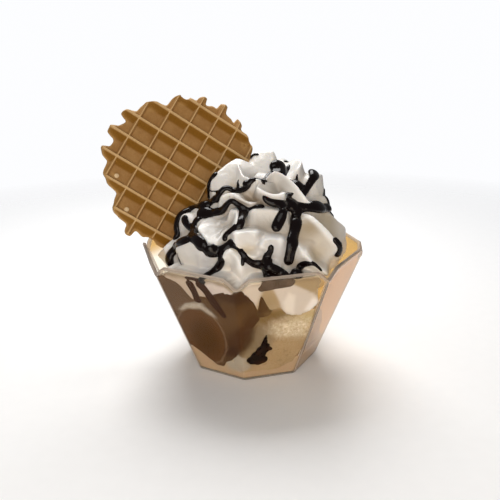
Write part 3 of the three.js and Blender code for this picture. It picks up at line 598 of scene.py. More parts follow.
class Finish:
    """A node material, built step by step round one Principled shader."""

    def __init__(self, name, **settings):
        self.material = bpy.data.materials.new(name)
        self.material.use_nodes = True
        self.tree = self.material.node_tree
        self.shader = self.tree.nodes["Principled BSDF"]
        for key, value in settings.items():
            self.shader.inputs[key.replace("_", " ")].default_value = value
        self.place = self.node("TexCoord").outputs["Object"]

    def node(self, kind, inputs=None, **settings):
        node = self.tree.nodes.new("ShaderNode" + kind)
        for key, value in settings.items():
            setattr(node, key, value)
        for key, value in (inputs or {}).items():
            self.feed(node.inputs[key], value)
        return node

    def feed(self, socket, value):
        if isinstance(value, bpy.types.NodeSocket):
            self.tree.links.new(value, socket)
        else:
            socket.default_value = value

    def set(self, name, value):
        self.feed(self.shader.inputs[name], value)

    def noise(self, size, detail=3, roughness=0.5, distortion=0.0):
        inputs = {"Vector": self.place, "Scale": 1 / (size * MM), "Detail": detail, "Roughness": roughness,
                  "Distortion": distortion}
        return self.node("TexNoise", inputs).outputs["Fac"]

    def attribute(self, name, output="Fac"):
        return self.node("Attribute", attribute_name=name).outputs[output]

    def between(self, value, low, high, to_low=0.0, to_high=1.0):
        inputs = {"Value": value, "From Min": low, "From Max": high, "To Min": to_low, "To Max": to_high}
        return self.node("MapRange", inputs).outputs["Result"]

    def times(self, a, b):
        return self.node("Math", {0: a, 1: b}, operation="MULTIPLY").outputs[0]

    def mix(self, share, first, second, blend="MIX"):
        node = self.node("Mix", data_type="RGBA", blend_type=blend)
        self.feed(node.inputs[0], share)
        self.feed(node.inputs[6], solid(first))
        self.feed(node.inputs[7], solid(second))
        return node.outputs[2]

    def bump(self, height, depth, normal=None):
        """Relief of about depth millimetres."""
        inputs = {"Height": height, "Distance": depth * MM, "Strength": 1.0}
        if normal is not None:
            inputs["Normal"] = normal
        return self.node("Bump", inputs).outputs["Normal"]


def solid(colour):
    """Gives a plain colour its fourth number."""
    return (*colour, 1.0) if isinstance(colour, tuple) and len(colour) == 3 else colour


def floor_material():
    finish = Finish("floor", Roughness=0.75)
    finish.shader.inputs["Specular IOR Level"].default_value = 0.2
    grain = finish.noise(6, 4)
    finish.set("Base Color", finish.mix(grain, (0.92, 0.92, 0.92), (0.95, 0.95, 0.95)))
    finish.set("Normal", finish.bump(grain, 0.05))
    radius = finish.node("VectorMath", {0: finish.place}, operation="LENGTH").outputs["Value"]
    clear = finish.node("BsdfTransparent").outputs[0]
    share = finish.between(radius, *FLOOR_FADE)
    fade = finish.node("MixShader", {0: share, 1: finish.shader.outputs[0], 2: clear})
    finish.feed(finish.tree.nodes["Material Output"].inputs["Surface"], fade.outputs[0])
    return finish.material


def cup_material():
    """Clear plastic, with painted tan light where it is empty and a painted greyish sheen on its frosted lip.
    """
    finish = Finish("clear_plastic", Roughness=0.03, IOR=1.25, Transmission_Weight=1.0,
                    Specular_Tint=(0.38, 0.27, 0.10, 1))
    # Painted light: where nothing lies behind the wall, a darker tan stands for what is seen through it.
    tint = finish.mix(finish.attribute("bare"), (0.97, 0.90, 0.76), (0.68, 0.42, 0.15))
    frost_and_painted_sheen = finish.attribute("frost_and_painted_sheen")
    # Painted sheen: a greyish tan on the frosted lip, foot and corners, for the light seen along those edges.
    finish.set("Base Color", finish.mix(frost_and_painted_sheen, tint, (0.50, 0.42, 0.36)))
    finish.set("Roughness", finish.between(frost_and_painted_sheen, 0, 1, 0.03, 0.35))
    finish.set("Transmission Weight", finish.between(frost_and_painted_sheen, 0, 1, 1.0, 0.5))
    finish.set("Normal", finish.bump(finish.noise(9, 1), 0.03))
    return finish.material


def wall_bareness(points):
    """Up to 1 where nothing lies behind the wall as seen from the front: the far petals and the far right."""
    azimuth, height = unrolled(points)
    near_right = (0.4 + 0.6 * smoothstep(height, 6, 24)) * smoothstep(azimuth, 36, 40)
    near_right = near_right * (1 - smoothstep(azimuth, 80, 84))
    gap = near_right + smoothstep(azimuth, 80, 85) * (1 - smoothstep(azimuth, 125, 140))
    front = smoothstep(azimuth, -66, -56) * (1 - smoothstep(azimuth, 81, 84))
    return np.maximum(gap, (1 - front) * smoothstep(height, 44, 50))


def wafer_material():
    finish = Finish("baked_wafer", Specular_IOR_Level=0.18)
    toast = finish.noise(7, 5, 0.6)
    crumb = finish.noise(0.9, 6, 0.65)
    base = finish.mix(finish.between(toast, 0.35, 0.7), (0.33, 0.165, 0.05), (0.42, 0.235, 0.085))
    # Painted shade: the low flank of each main rib is darker.
    base = finish.mix(finish.attribute("painted_flank_shade"), base, (0.205, 0.085, 0.001))
    # Painted highlight: the crests of the ribs are lighter.
    crest = finish.mix(finish.between(finish.attribute("crest"), 0.9, 1.0), base, (0.66, 0.44, 0.21))
    edge = finish.mix(finish.attribute("edge"), crest, (0.50, 0.29, 0.10))
    pale = finish.mix(finish.between(finish.attribute("chip"), 0.3, 0.5), edge, (0.86, 0.66, 0.40))
    finish.set("Base Color", finish.mix(finish.between(crumb, 0.3, 0.75, 0.0, 0.3), pale, (0.25, 0.12, 0.03)))
    finish.set("Roughness", finish.between(crumb, 0.3, 0.7, 0.5, 0.8))
    fine = finish.bump(crumb, 0.12)
    finish.set("Normal", finish.bump(finish.noise(2.6, 3), 0.22, fine))
    return finish.material


def cream_material():
    finish = Finish("whipped_cream", Roughness=0.36, Subsurface_Weight=0.2, Subsurface_Scale=0.0015)
    finish.shader.inputs["Subsurface Radius"].default_value = (1.0, 0.75, 0.5)
    tone = finish.attribute("tone", "Color")
    cloud = finish.between(finish.noise(11, 3), 0.35, 0.7, 0.0, 0.12)
    finish.set("Base Color", finish.mix(cloud, tone, (0.72, 0.64, 0.52)))
    bubbles = finish.bump(finish.noise(0.7, 4, 0.6), 0.05)
    finish.set("Normal", finish.bump(finish.noise(3.2, 3, 0.5, 0.6), 0.28, bubbles))
    return finish.material


def sauce_material(gloss, shine=(1, 1, 1)):
    """Thick dark sauce, and thinner brown sauce where the mesh says so."""
    finish = Finish("chocolate_sauce", Roughness=0.13, Specular_IOR_Level=gloss, Specular_Tint=solid(shine))
    cloud = finish.noise(5, 2)
    dark = finish.mix(cloud, (0.003, 0.0012, 0.0012), (0.006, 0.0022, 0.0016))
    finish.set("Base Color", finish.mix(finish.attribute("thin"), dark, (0.085, 0.032, 0.012)))
    finish.set("Normal", finish.bump(finish.noise(2.4, 2), 0.16))
    return finish.material


def ice_cream_material(name, roughness, grain_depth, depth_of_light=0.12):
    """Ice cream whose colour comes with the mesh, with darker grain where the mesh says so."""
    finish = Finish(name, Roughness=roughness, Specular_IOR_Level=0.1,
                    Subsurface_Weight=depth_of_light, Subsurface_Scale=0.002)
    grain = finish.noise(0.8, 5, 0.65)
    tone = finish.attribute("tone", "Color")
    darker = finish.mix(1.0, tone, (0.72, 0.66, 0.58), "MULTIPLY")
    rough = finish.attribute("grainy")
    share = finish.times(finish.between(grain, 0.42, 0.66), rough)
    finish.set("Base Color", finish.mix(share, tone, darker))
    finish.set("Normal", finish.bump(finish.times(grain, rough), grain_depth))
    return finish.material


# Cup

def octagon_ring(reach, rounding):
    """Points round an octagon with rounded corners, and how far along the wall each is from its corner."""
    half = reach * math.tan(HALF_STEP)
    cut = rounding * math.tan(HALF_STEP)
    along = (half - cut) * np.sin(np.linspace(-1, 1, CUP["columns"]) * math.pi / 2)
    centre = (reach - rounding) / math.cos(HALF_STEP)
    points, corner = [], []
    for azimuth in FACET_AZIMUTHS:
        normal = np.array([math.sin(azimuth), -math.cos(azimuth)])
        side = np.array([math.cos(azimuth), math.sin(azimuth)])
        points += list(reach * normal + along[:, None] * side)
        corner += list(half - np.abs(along))
        bisector = azimuth + HALF_STEP
        for step in np.linspace(0, 1, CUP["arc"] + 2)[1:-1]:
            turn = azimuth + 2 * HALF_STEP * step
            points.append(centre * np.array([math.sin(bisector), -math.cos(bisector)])
                          + rounding * np.array([math.sin(turn), -math.cos(turn)]))
            corner.append(rounding * abs(turn - bisector))
    return np.array(points), np.array(corner)


def rim_height(corner):
    """The rim's height along a wall: a rounded dip at each corner."""
    t = np.clip(corner / CUP["notch_half"], 0, 1)
    dip = 0.65 * (0.5 + 0.5 * np.cos(math.pi * t)) + 0.35 * (1 - np.sqrt(t * t + 0.03)).clip(0)
    return CUP["height"] - (CUP["height"] - CUP["notch"]) * dip


def cup_ring(height, inset, rounding, lift=0.0):
    """One ring of the cup. Height is where it would be under an even rim; lift moves it up the lip."""
    reach = apothem(height, inset)
    flat, corner = octagon_ring(reach, rounding)
    top = rim_height(corner)
    level = np.where(height > SQUEEZE_FROM, SQUEEZE_FROM + (height - SQUEEZE_FROM)
                     * (top - SQUEEZE_FROM) / (CUP["height"] - SQUEEZE_FROM), height)
    scale = apothem(level, inset) / reach
    return np.column_stack([flat * scale[:, None], level + lift])


def degrees_off_corner(azimuth):
    """How many degrees an azimuth is from the cup's nearest corner."""
    step = 360 / CUP["sides"]
    return np.abs((azimuth - CUP["turn"] + step / 2) % step - step / 2)


def rim_above(azimuth):
    """The rim's height at an azimuth."""
    return rim_height(degrees_off_corner(azimuth) * MM_PER_DEGREE * RIM_STRETCH)


def cup_rings():
    """The cup's section as rings, from under its foot, up the outside, over the lip and down to the floor."""
    wall, half, bead = CUP["wall"], CUP["wall"] / 2, CUP["bead"]
    outer, inner, foot = CUP["outer_round"], CUP["inner_round"], CUP["foot_round"]
    floor, curve = CUP["floor"], CUP["floor_round"]
    neck = CUP["height"] - half - CUP["neck"]
    quarter = np.linspace(0, math.pi / 2, 5)
    rings = [cup_ring(0, CUP["middle"], outer), cup_ring(0, foot + 1.5, outer)]
    for turn in quarter:
        rings.append(cup_ring(foot * (1 - math.cos(turn)), foot * (1 - math.sin(turn)), outer))
    for height in np.linspace(foot + 1, neck, CUP["rows"]):
        rings.append(cup_ring(height, 0, outer))
    for bulge in (0.5, 1.0):
        rings.append(cup_ring(neck + bulge * CUP["neck_length"], -bead * bulge, outer))
    radius = half + bead
    for turn in np.linspace(0, math.pi, 9):
        lip = half - radius * math.cos(turn)
        rings.append(cup_ring(CUP["height"] - half, lip, outer, radius * math.sin(turn)))
    for bulge in (1.0, 0.5):
        rings.append(cup_ring(neck + bulge * CUP["neck_length"], wall + bead * bulge, inner))
    for height in np.linspace(neck, floor + CUP["inner_start"], CUP["rows"]):
        rings.append(cup_ring(height, wall, inner))
    for turn in quarter[1:]:
        rings.append(cup_ring(floor + curve * (1 - math.sin(turn)), wall + curve * (1 - math.cos(turn)), inner))
    rings.append(cup_ring(floor, CUP["middle"], inner))
    return np.array(rings)


def make_cup():
    points, faces = capped_rings(cup_rings())
    values = {"bare": wall_bareness(points), "frost_and_painted_sheen": wall_edges(points)}
    cup = make_mesh("cup_clear", points, [face[::-1] for face in faces], cup_material(), values=values)
    cup.visible_shadow = False
    finish_piece(cup, "cup_plastic", "cup")


def finish_piece(piece, slot, *nodes):
    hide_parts(*nodes)
    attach(piece, BODY)


def wall_edges(points):
    """1 on the lip and along the corners, where the plastic is frosted and a greyish sheen is painted, and 0 on
    the flat walls.
    """
    azimuth, height = unrolled(points)
    corner = degrees_off_corner(azimuth) * MM_PER_DEGREE * apothem(height) / OUTLINE_REACH
    lip = smoothstep(height - rim_height(corner), -1.0, -0.5)
    foot = 1 - smoothstep(height, 0.7, 1.6)
    seen_flat = 1 - smoothstep(np.abs(azimuth - CUP["turn"]), 15, 25)
    frosted = (1 - smoothstep(corner, 0.3, 0.9)) * (1 - seen_flat * (1 - smoothstep(height, 48.5, 50.5)))
    return np.maximum(np.maximum(lip, foot * 0.7), frosted)


# Wafer

def wafer_matrix():
    lay = Matrix.Rotation(math.radians(WAFER["turn"]), 4, "Z")
    lay = lay @ Matrix.Rotation(math.radians(90 - WAFER["lean"]), 4, "X")
    lay = lay @ Matrix.Rotation(math.radians(WAFER["roll"]), 4, "Z")
    return Matrix.Translation(WAFER["centre"]) @ lay


def rib_lines(shift):
    return np.arange(-WAFER["lines"], WAFER["lines"] + 1) * WAFER["pitch"] + shift


def offset_from_rib(across, lines):
    """Signed distance to the nearest of a set of parallel lines."""
    off = across[:, None] - lines[None, :]
    return off[np.arange(len(across)), np.abs(off).argmin(1)]


def rib_height(off, rib):
    """Height of a rib over the web: flat flanks, the low one wider than the high one."""
    half = rib["crest"] / 2
    low = 1 - (-off - half) / (rib["low"] - half)
    high = 1 - (off - half) / (rib["high"] - half)
    share = np.clip(np.minimum(low, high), 0, 1)
    return rib["rise"] * (share - 0.08 * np.sin(share * 2 * math.pi))


def wafer_radius(bearing):
    """The wafer is a little square: longest along its ribs."""
    return WAFER["radius"] + WAFER["squareness"] * np.cos(4 * bearing)


def wafer_depth(x, y):
    """Distance inside the wafer's outline: a round web between rib ends that stick out."""
    radius, bearing = np.hypot(x, y), np.arctan2(y, x)
    full = wafer_radius(bearing)
    wobble = 0.35 * np.sin(9 * bearing + 1) + 0.3 * np.sin(23 * bearing) + 0.25 * np.sin(41 * bearing + 2)
    best = full - WAFER["web_in"] + wobble - radius
    main, cross = rib_lines(WAFER["shift"][1]), rib_lines(WAFER["shift"][0])
    for across, lines, rib in ((y, main, WAFER["main"]), (x, cross, WAFER["cross"])):
        end = full - radius + 0.8 * wobble
        wide = NUB_HALF + 0.25 * (rib["low"] - 1) * smoothstep(end, 0, 3) + 0.4 * smoothstep(end, 0.5, 4)
        side = wide - np.abs(offset_from_rib(across, lines) + 0.3 * (rib["low"] - rib["high"]))
        rounded = NUB_CORNER - np.hypot(NUB_CORNER - end, NUB_CORNER - side)
        nub = np.where((end < NUB_CORNER) & (side < NUB_CORNER), rounded, np.minimum(end, side))
        mix = np.maximum(NUB_BLEND - np.abs(best - nub), 0) / NUB_BLEND
        best = np.maximum(best, nub) + mix * mix * NUB_BLEND / 4
    for nick_x, nick_y, size in WAFER_NICKS:
        best = np.minimum(best, np.hypot(x - nick_x, y - nick_y) - size)
    return best


def fill_holes(inside):
    """A grid of yes and no with every gap that the outside doesn't reach filled."""
    outside = np.zeros_like(inside)
    outside[0], outside[-1], outside[:, 0], outside[:, -1] = True, True, True, True
    outside &= ~inside
    while True:
        grown = outside.copy()
        grown[1:] |= outside[:-1]
        grown[:-1] |= outside[1:]
        grown[:, 1:] |= outside[:, :-1]
        grown[:, :-1] |= outside[:, 1:]
        grown &= ~inside
        if (grown == outside).all():
            return ~outside
        outside = grown


def wafer_axis(lines, rib):
    """Grid lines across the ribs: closer together on the flanks and crests."""
    reach = WAFER["radius"] + WAFER["squareness"] + WAFER_GRID["margin"]
    past = WAFER_GRID["past_rib"]
    places = [np.arange(-reach, reach, WAFER_GRID["step"])]
    for line in lines:
        places.append(line + np.linspace(-rib["low"] - past, rib["high"] + past, WAFER_GRID["over_rib"]))
    places = np.sort(np.concatenate(places))
    kept = [places[0]]
    for place in places[1:]:
        if place - kept[-1] > WAFER_GRID["least"]:
            kept.append(place)
    return np.array(kept)


def snap_to_outline(x, y, rim):
    """Moves the outermost points of the grid onto the wafer's outline."""
    step = 0.02
    for _ in range(3):
        slope_x = (wafer_depth(x[rim] + step, y[rim]) - wafer_depth(x[rim] - step, y[rim])) / (2 * step)
        slope_y = (wafer_depth(x[rim], y[rim] + step) - wafer_depth(x[rim], y[rim] - step)) / (2 * step)
        size = np.maximum(slope_x ** 2 + slope_y ** 2, 0.2)
        off = np.clip(wafer_depth(x[rim], y[rim]), -0.3, 0.3)
        x[rim] -= off * slope_x / size
        y[rim] -= off * slope_y / size


def wafer_plan():
    """The wafer's plan as a grid: x and y of its points, which of them fill a hole, and its quads."""
    xs = wafer_axis(rib_lines(WAFER["shift"][0]), WAFER["cross"])
    ys = wafer_axis(rib_lines(WAFER["shift"][1]), WAFER["main"])
    x, y = (part.ravel() for part in np.meshgrid(xs, ys))
    depth = wafer_depth(x, y)
    kept = fill_holes((depth > WAFER_GRID["cut"]).reshape(len(ys), len(xs))).ravel()
    filled = kept & (depth <= WAFER_GRID["cut"])
    index = np.arange(len(x)).reshape(len(ys), len(xs))
    quads = np.stack([index[:-1, :-1], index[:-1, 1:], index[1:, 1:], index[1:, :-1]], -1).reshape(-1, 4)
    quads = quads[kept[quads].all(1)]
    used = np.unique(quads)
    place = np.full(len(x), -1)
    place[used] = np.arange(len(used))
    return x[used], y[used], filled[used], place[quads]


def wafer_relief(x, y, filled):
    """Half the thickness at each point of the plan, and what the material needs to know there."""
    main_rib, cross_rib = WAFER["main"], WAFER["cross"]
    depth = np.maximum(wafer_depth(x, y), np.where(filled, 0.6, 0))
    main_off = offset_from_rib(y, rib_lines(WAFER["shift"][1]))
    main = rib_height(main_off, main_rib)
    cross = rib_height(offset_from_rib(x, rib_lines(WAFER["shift"][0])), cross_rib)
    flat = np.column_stack([x, y, np.zeros(len(x))])
    uneven = 0.08 * noise(flat, 3.1, 1) + 0.05 * noise(flat, 1.2, 2)
    height = np.maximum(main, cross) * (1 + 0.10 * noise(flat, 6, 3)) + uneven
    rounding = np.sqrt(1 - (1 - np.clip(depth / 0.5, 0, 1)) ** 2)
    half = (WAFER["web"] / 2 + height) * (0.5 + 0.5 * rounding)
    # Painted shade on the low flank of each main rib, below its crest.
    painted_flank_shade = smoothstep(-main_off, 0.5, 1.1) * smoothstep(main_rib["low"] + main_off, -0.5, 0.6)
    painted_flank_shade *= 1 - smoothstep(cross, main, main + 0.3)
    # How high the ribs stand, which the material uses for a painted highlight on their crests.
    crest = np.clip(np.maximum(main / main_rib["rise"], cross / cross_rib["rise"]), 0, 1)
    return half, {"crest": crest, "painted_flank_shade": painted_flank_shade, "edge": np.exp(-depth / 0.5)}


def make_wafer():
    x, y, filled, quads = wafer_plan()
    edge_pairs = boundary_pairs(quads)
    snap_to_outline(x, y, np.unique(edge_pairs))
    half, marks = wafer_relief(x, y, filled)
    chips = np.max([np.exp(-((x - cx) ** 2 + (y - cy) ** 2) / 1.1) for cx, cy in WAFER_CHIPS], 0)
    front = np.column_stack([x, y, half + CHIP_RISE * chips])
    back = np.column_stack([x, y, -half])
    count = len(x)
    walls = [(a + count, b + count, b, a) for a, b in edge_pairs]
    faces = quads.tolist() + (quads[:, ::-1] + count).tolist() + walls
    matrix = np.array(wafer_matrix())
    points = np.vstack([front, back]) @ matrix[:3, :3].T + matrix[:3, 3]
    values = {key: np.tile(value, 2) for key, value in marks.items()}
    values["chip"] = np.concatenate([chips, chips * 0])
    wafer = make_mesh("wafer_baked", points, faces, wafer_material(), values=values)
    finish_piece(wafer, "waffle", "wafer")


def boundary_pairs(quads):
    """Edges that only one quad has, in the quad's own direction."""
    edges = np.concatenate([quads[:, [0, 1]], quads[:, [1, 2]], quads[:, [2, 3]], quads[:, [3, 0]]])
    keys = np.sort(edges, 1)
    _, first, count = np.unique(keys, axis=0, return_index=True, return_counts=True)
    return edges[first[count == 1]]


# Scoops and pool

def sphere_directions(rows, columns):
    """Rings of unit vectors from top to bottom."""
    elevation = 90 - (np.arange(rows) + 0.5) * 180 / rows
    azimuth = np.arange(columns) * 360 / columns
    azimuth, elevation = np.meshgrid(azimuth, elevation)
    return directions(azimuth, elevation)


def make_scoop(name, scoop, outlines, inset, tones, material, slot, node, seed):
    """A scoop pressed flat on the wall inside its outlines, and rounded and rugged elsewhere."""
    rows, columns = SCOOP_MESH["rows"], SCOOP_MESH["columns"]
    rays = sphere_directions(rows, columns).reshape(-1, 3)
    centre = np.array(scoop["centre"])
    wall = distance_to_wall(centre, rays, inset, CUP["floor"] - 0.3)
    own = 1 / np.linalg.norm(rays / np.array(scoop["radii"]), axis=1)
    there = centre + own[:, None] * rays
    for number, (rough, size) in enumerate(SCOOP_ROUGHNESS):
        own = own + rough * noise(there, size, seed + number)
    on_wall = centre + wall[:, None] * rays
    azimuth, height = unrolled(on_wall)
    ragged = 0.8 * noise(on_wall, 3.0, seed + 3)
    inside = np.max([depth_inside(azimuth, height, outline) for outline in outlines], 0) + ragged
    press = smoothstep(inside, -3.5, 0)
    own = np.minimum(own, wall - 1.5)
    reach = own + (wall - own) * press
    points = centre + reach[:, None] * rays
    values = tones(points)
    points, faces = capped_rings(points.reshape(rows, columns, 3))
    values = {key: np.concatenate([value, value[:1], value[-1:]]) for key, value in values.items()}
    thing = make_mesh(name, points, faces, material, values=values)
    finish_piece(thing, slot, node)


def in_front(points):
    return points[:, 1] < FRONT_FROM


def blend_tone(tone, share, colour):
    return tone + (np.array(colour) - tone) * share[:, None]


def oval(points, centre, radii, tilt=0.0):
    """Over 1 outside a tilted oval on the front wall and under 1 inside it, seen along +Y."""
    turn = math.radians(tilt)
    x, z = points[:, 0] - centre[0], points[:, 2] - centre[1]
    along = (x * math.cos(turn) + z * math.sin(turn)) / radii[0]
    across = (z * math.cos(turn) - x * math.sin(turn)) / radii[1]
    return np.hypot(along, across)


def paint(tone, points, patches):
    """Lays soft ovals of colour over the side that faces front."""
    front = in_front(points)
    for number, patch in enumerate(patches):
        edge = oval(points, patch["at"], patch["radii"], patch.get("tilt", 0))
        edge = edge + 0.2 * noise(points, 2.4, 80 + number)
        soft = patch.get("soft", 0.5)
        tone = blend_tone(tone, (1 - smoothstep(edge, 1 - soft, 1 + soft)) * front, patch["tone"])
    return tone


CHOCOLATE_PATCHES = [
    {"at": (-33, 42), "radii": (9, 12), "tone": (0.108, 0.064, 0.038)},
    {"at": (-5, 46), "radii": (9, 3.2), "tilt": 6, "tone": (0.045, 0.020, 0.008)},
    {"at": (-9, 33), "radii": (6, 4), "tilt": 30, "tone": (0.098, 0.052, 0.021)},
    # Painted shade in the crease along the vanilla.
    {"at": (-4.5, 25), "radii": (4, 12), "tilt": -30, "tone": (0.058, 0.024, 0.008)},
    {"at": (-10.5, 15.5), "radii": (5.5, 3.0), "tilt": 20, "tone": (0.038, 0.013, 0.003)},
    {"at": (-24, 37.6), "radii": (4.5, 1.5), "tilt": 20, "soft": 0.3, "tone": (0.36, 0.33, 0.30)},
]


def chocolate_tones(points):
    """Dark and mottled, with a wet patch on the wall, a ring round it and a pale cap over it."""
    tone = np.tile((0.082, 0.042, 0.016), (len(points), 1))
    tone = blend_tone(tone, smoothstep(noise(points, 4, 11), 0.0, 0.8) * 0.6, (0.058, 0.028, 0.010))
    tone = paint(tone, points, CHOCOLATE_PATCHES)
    tone = blend_tone(tone, smoothstep(noise(points, 1.4, 14), 0.35, 0.8) * 0.35, (0.15, 0.095, 0.058))
    front = in_front(points)
    edge = oval(points, **CONTACT) + 0.03 * noise(points, 2.2, 12)
    outline = np.exp(-((edge - 1.04) / 0.035) ** 2) * front
    tone = blend_tone(tone, outline * 0.8, (0.19, 0.12, 0.075))
    wet = smoothstep(1 - edge, -0.01, 0.05) * front
    tone = blend_tone(tone, wet, (0.086, 0.036, 0.009))
    middle = 1 - smoothstep(oval(points, **CONTACT_MIDDLE), 0.4, 1.15)
    tone = blend_tone(tone, wet * middle, (0.058, 0.022, 0.0008))
    cap = np.exp(-((edge - 1.10) / 0.07) ** 2) * front * smoothstep(points[:, 2], 32.5, 35)
    tone = blend_tone(tone, cap, (0.40, 0.37, 0.34))
    return {"tone": tone, "grainy": np.clip(1 - wet, 0.03, 1)}


VANILLA_PATCHES = [
    # Melted chocolate in the vanilla's side next to the chocolate, with painted shade in the crease.
    {"at": (2, 24), "radii": (6.5, 14), "tilt": -24, "soft": 0.7, "tone": (0.20, 0.15, 0.095)},
    {"at": (-3.2, 23), "radii": (2.8, 10), "tilt": -24, "soft": 0.6, "tone": (0.060, 0.030, 0.012)},
    # Painted shadow under the cream on the top of the vanilla.
    {"at": (9, 34.5), "radii": (8, 3.5), "soft": 0.7, "tone": (0.165, 0.105, 0.040)},
    {"at": (24, 32), "radii": (7, 4.5), "soft": 0.7, "tone": (0.42, 0.34, 0.20)},
    {"at": (17, 27), "radii": (8.5, 5.0), "tilt": -12, "soft": 0.6, "tone": (0.55, 0.48, 0.375)},
]
GREY_BLOB = {"at": (-7.2, 9.5), "radii": (5.2, 5.4), "tilt": 30, "soft": 0.2, "tone": (0.34, 0.30, 0.255)}


def vanilla_tones(points):
    """Clouded, with frost and streaks on the front and small dark specks."""
    tone = np.tile((0.345, 0.25, 0.145), (len(points), 1))
    tone = blend_tone(tone, smoothstep(noise(points, 5, 21), 0.0, 0.9) * 0.5, (0.41, 0.31, 0.20))
    tone = paint(tone, points, VANILLA_PATCHES)
    front = in_front(points)
    frost = np.exp(-oval(points, (17, 27), (8, 4.5), -12) ** 2) * front
    flecks = smoothstep(noise(points * (1, 1, 0.5), 0.7, 22), -0.1, 0.7)
    tone = blend_tone(tone, frost * flecks * 0.8, (0.80, 0.75, 0.66))
    streaked = np.exp(-oval(points, (23.5, 22), (2.6, 8.0)) ** 2) * front
    streaks = smoothstep(noise(points * (1, 1, 0.12), 0.8, 24), 0.1, 0.5)
    tone = blend_tone(tone, streaked * streaks * 0.7, (0.56, 0.44, 0.28))
    tone = blend_tone(tone, smoothstep(noise(points, 1.3, 25), 0.4, 0.8) * 0.25, (0.17, 0.115, 0.06))
    tone = paint(tone, points, [GREY_BLOB])
    return {"tone": tone, "grainy": np.clip(0.35 + 0.9 * frost, 0, 1)}


def make_pool():
    """Melted ice cream: it fills the foot of the cup and climbs a little where it meets the wall."""
    azimuth = np.arange(POOL_COLUMNS) * 360 / POOL_COLUMNS
    climb = 3.5 * np.exp(-(((azimuth + 50 + 180) % 360 - 180) / 22) ** 2)
    level = POOL_LEVEL + 1.2 + climb + 0.5 * np.sin(np.radians(azimuth * 3 + 40))
    inset = INSET["pool"]
    rings = []
    for share in (0.25, 0.5, 0.75, 0.9, 0.97):
        ring = wall_point(azimuth, POOL_LEVEL + (level - POOL_LEVEL) * share ** 8, 2.2)
        ring[:, :2] *= share
        rings.append(ring)
    for drop in (0.0, 0.3, 1.0):
        rings.append(wall_point(azimuth, level - drop, inset + 0.8 * (1 - drop) ** 2))
    for share in np.linspace(0.12, 1, 14):
        rings.append(wall_point(azimuth, level - 1 - share * (level - 1 - CUP["floor"] + 0.3), inset))
    bottom = rings[-1].copy()
    for share in (0.97, 0.5):
        ring = bottom.copy()
        ring[:, :2] *= share
        rings.append(ring)
    rings = np.array(rings)
    points, faces = capped_rings(rings)
    tone = np.tile((0.39, 0.28, 0.19), (len(points), 1))
    tone = blend_tone(tone, smoothstep(noise(points, 7, 31), 0.1, 0.9) * 0.4, (0.44, 0.32, 0.22))
    tone = paint(tone, points, [GREY_BLOB])
    values = {"tone": tone, "grainy": np.full(len(points), 0.15)}
    pool = make_mesh("melted_pool", points, faces, ice_cream_material("melted", 0.3, 0.03), values=values)
    finish_piece(pool, "melted_ice_cream", "melted_ice_cream")


# Cream

def ring_of_crests():
    """The crests behind, from their counts and spans."""
    out = []
    for group in BACK_CRESTS:
        for index in range(group["count"]):
            start = group["from"] + (group["to"] - group["from"]) * index / (group["count"] - 1)
            middle = (group["low"] + group["high"]) / 2 + 3 * math.sin(2.4 * index)
            route = [(start, group["low"]), (start + group["slant"] * 0.35, middle),
                     (start + group["slant"], group["high"])]
            out.append({**group, "route": route})
    return out


def route_directions(route, step):
    """Unit vectors along a route of azimuth and elevation, about step millimetres apart on the cream."""
    corners = directions(*np.array(route, float).T)
    curve = smooth_route(corners, step / CREAM_REACH)
    return curve / np.linalg.norm(curve, axis=1)[:, None]


CREST_LINES = [(crest, route_directions(crest["route"], 2.0)) for crest in CRESTS + ring_of_crests()]
CREAM_CENTRE = np.array(CREAM["centre"], float)


def nearest_on_line(rays, line):
    """For each ray: how far the line is, how far along it that is, how far the ray lies to the line's right,
    and the way there."""
    best = np.full(len(rays), 9.0)
    share, side, across = np.zeros(len(rays)), np.zeros(len(rays)), np.zeros((len(rays), 3))
    count = len(line) - 1
    for index in range(count):
        start, run = line[index], line[index + 1] - line[index]
        along = np.clip(((rays - start) @ run) / (run @ run), 0, 1)
        off = rays - start - along[:, None] * run
        distance = np.linalg.norm(off, axis=1)
        closer = distance < best
        to_right = np.cross(run / np.linalg.norm(run), start)
        best[closer] = distance[closer]
        share[closer] = (index + along[closer]) / count
        side[closer] = (off @ to_right)[closer]
        across[closer] = to_right
    return best, share, side, across


def rays_near(rays, line, wide):
    """Which rays a crest along the line can reach, when it is wide millimetres to a side."""
    middle = line.mean(0)
    middle /= np.linalg.norm(middle)
    span = np.arccos(np.clip(line @ middle, -1, 1)).max() + wide / (CREAM_REACH - 4)
    return np.nonzero(rays @ middle > math.cos(min(span, 3.1)))[0]


def crest_fold(rays):
    """How far the crests raise the cream along each ray, and how far sideways their lips hang over."""
    lift = np.zeros(len(rays))
    sideways = np.zeros((len(rays), 3))
    for crest, line in CREST_LINES:
        lean, left, right = crest["lean"], crest["left"], crest["right"]
        near = rays_near(rays, line, max(left, right) + abs(lean))
        best, share, side, across = nearest_on_line(rays[near], line)
        past_end = np.maximum((best * CREAM_REACH) ** 2 - (side * CREAM_REACH) ** 2, 0)
        side = side * CREAM_REACH + lean
        away = np.sqrt(past_end + side ** 2)
        width = left - lean + (right - left + 2 * lean) * smoothstep(side, -1, 1)
        away = (np.sqrt(away ** 2 + 0.12) - math.sqrt(0.12)) / width
        fade = smoothstep(share, -0.05, 0.25) * smoothstep(1 - share, -0.05, 0.25)
        profile = np.clip(1 - away, 0, 1) ** crest["edge"]
        own = RELIEF * crest["rise"] * (0.35 + 0.65 * fade) * profile
        other = lift[near]
        mix = np.maximum(CREAM["blend"] - np.abs(other - own), 0) / CREAM["blend"]
        ahead = smoothstep(own - other, -0.5, 0.5)[:, None]
        hang = across * (lean * fade * profile ** 1.4)[:, None]
        sideways[near] += (hang - sideways[near]) * ahead
        lift[near] = np.maximum(other, own) + mix ** 2 * CREAM["blend"] * np.minimum(own, 1) / 4
    return lift, sideways


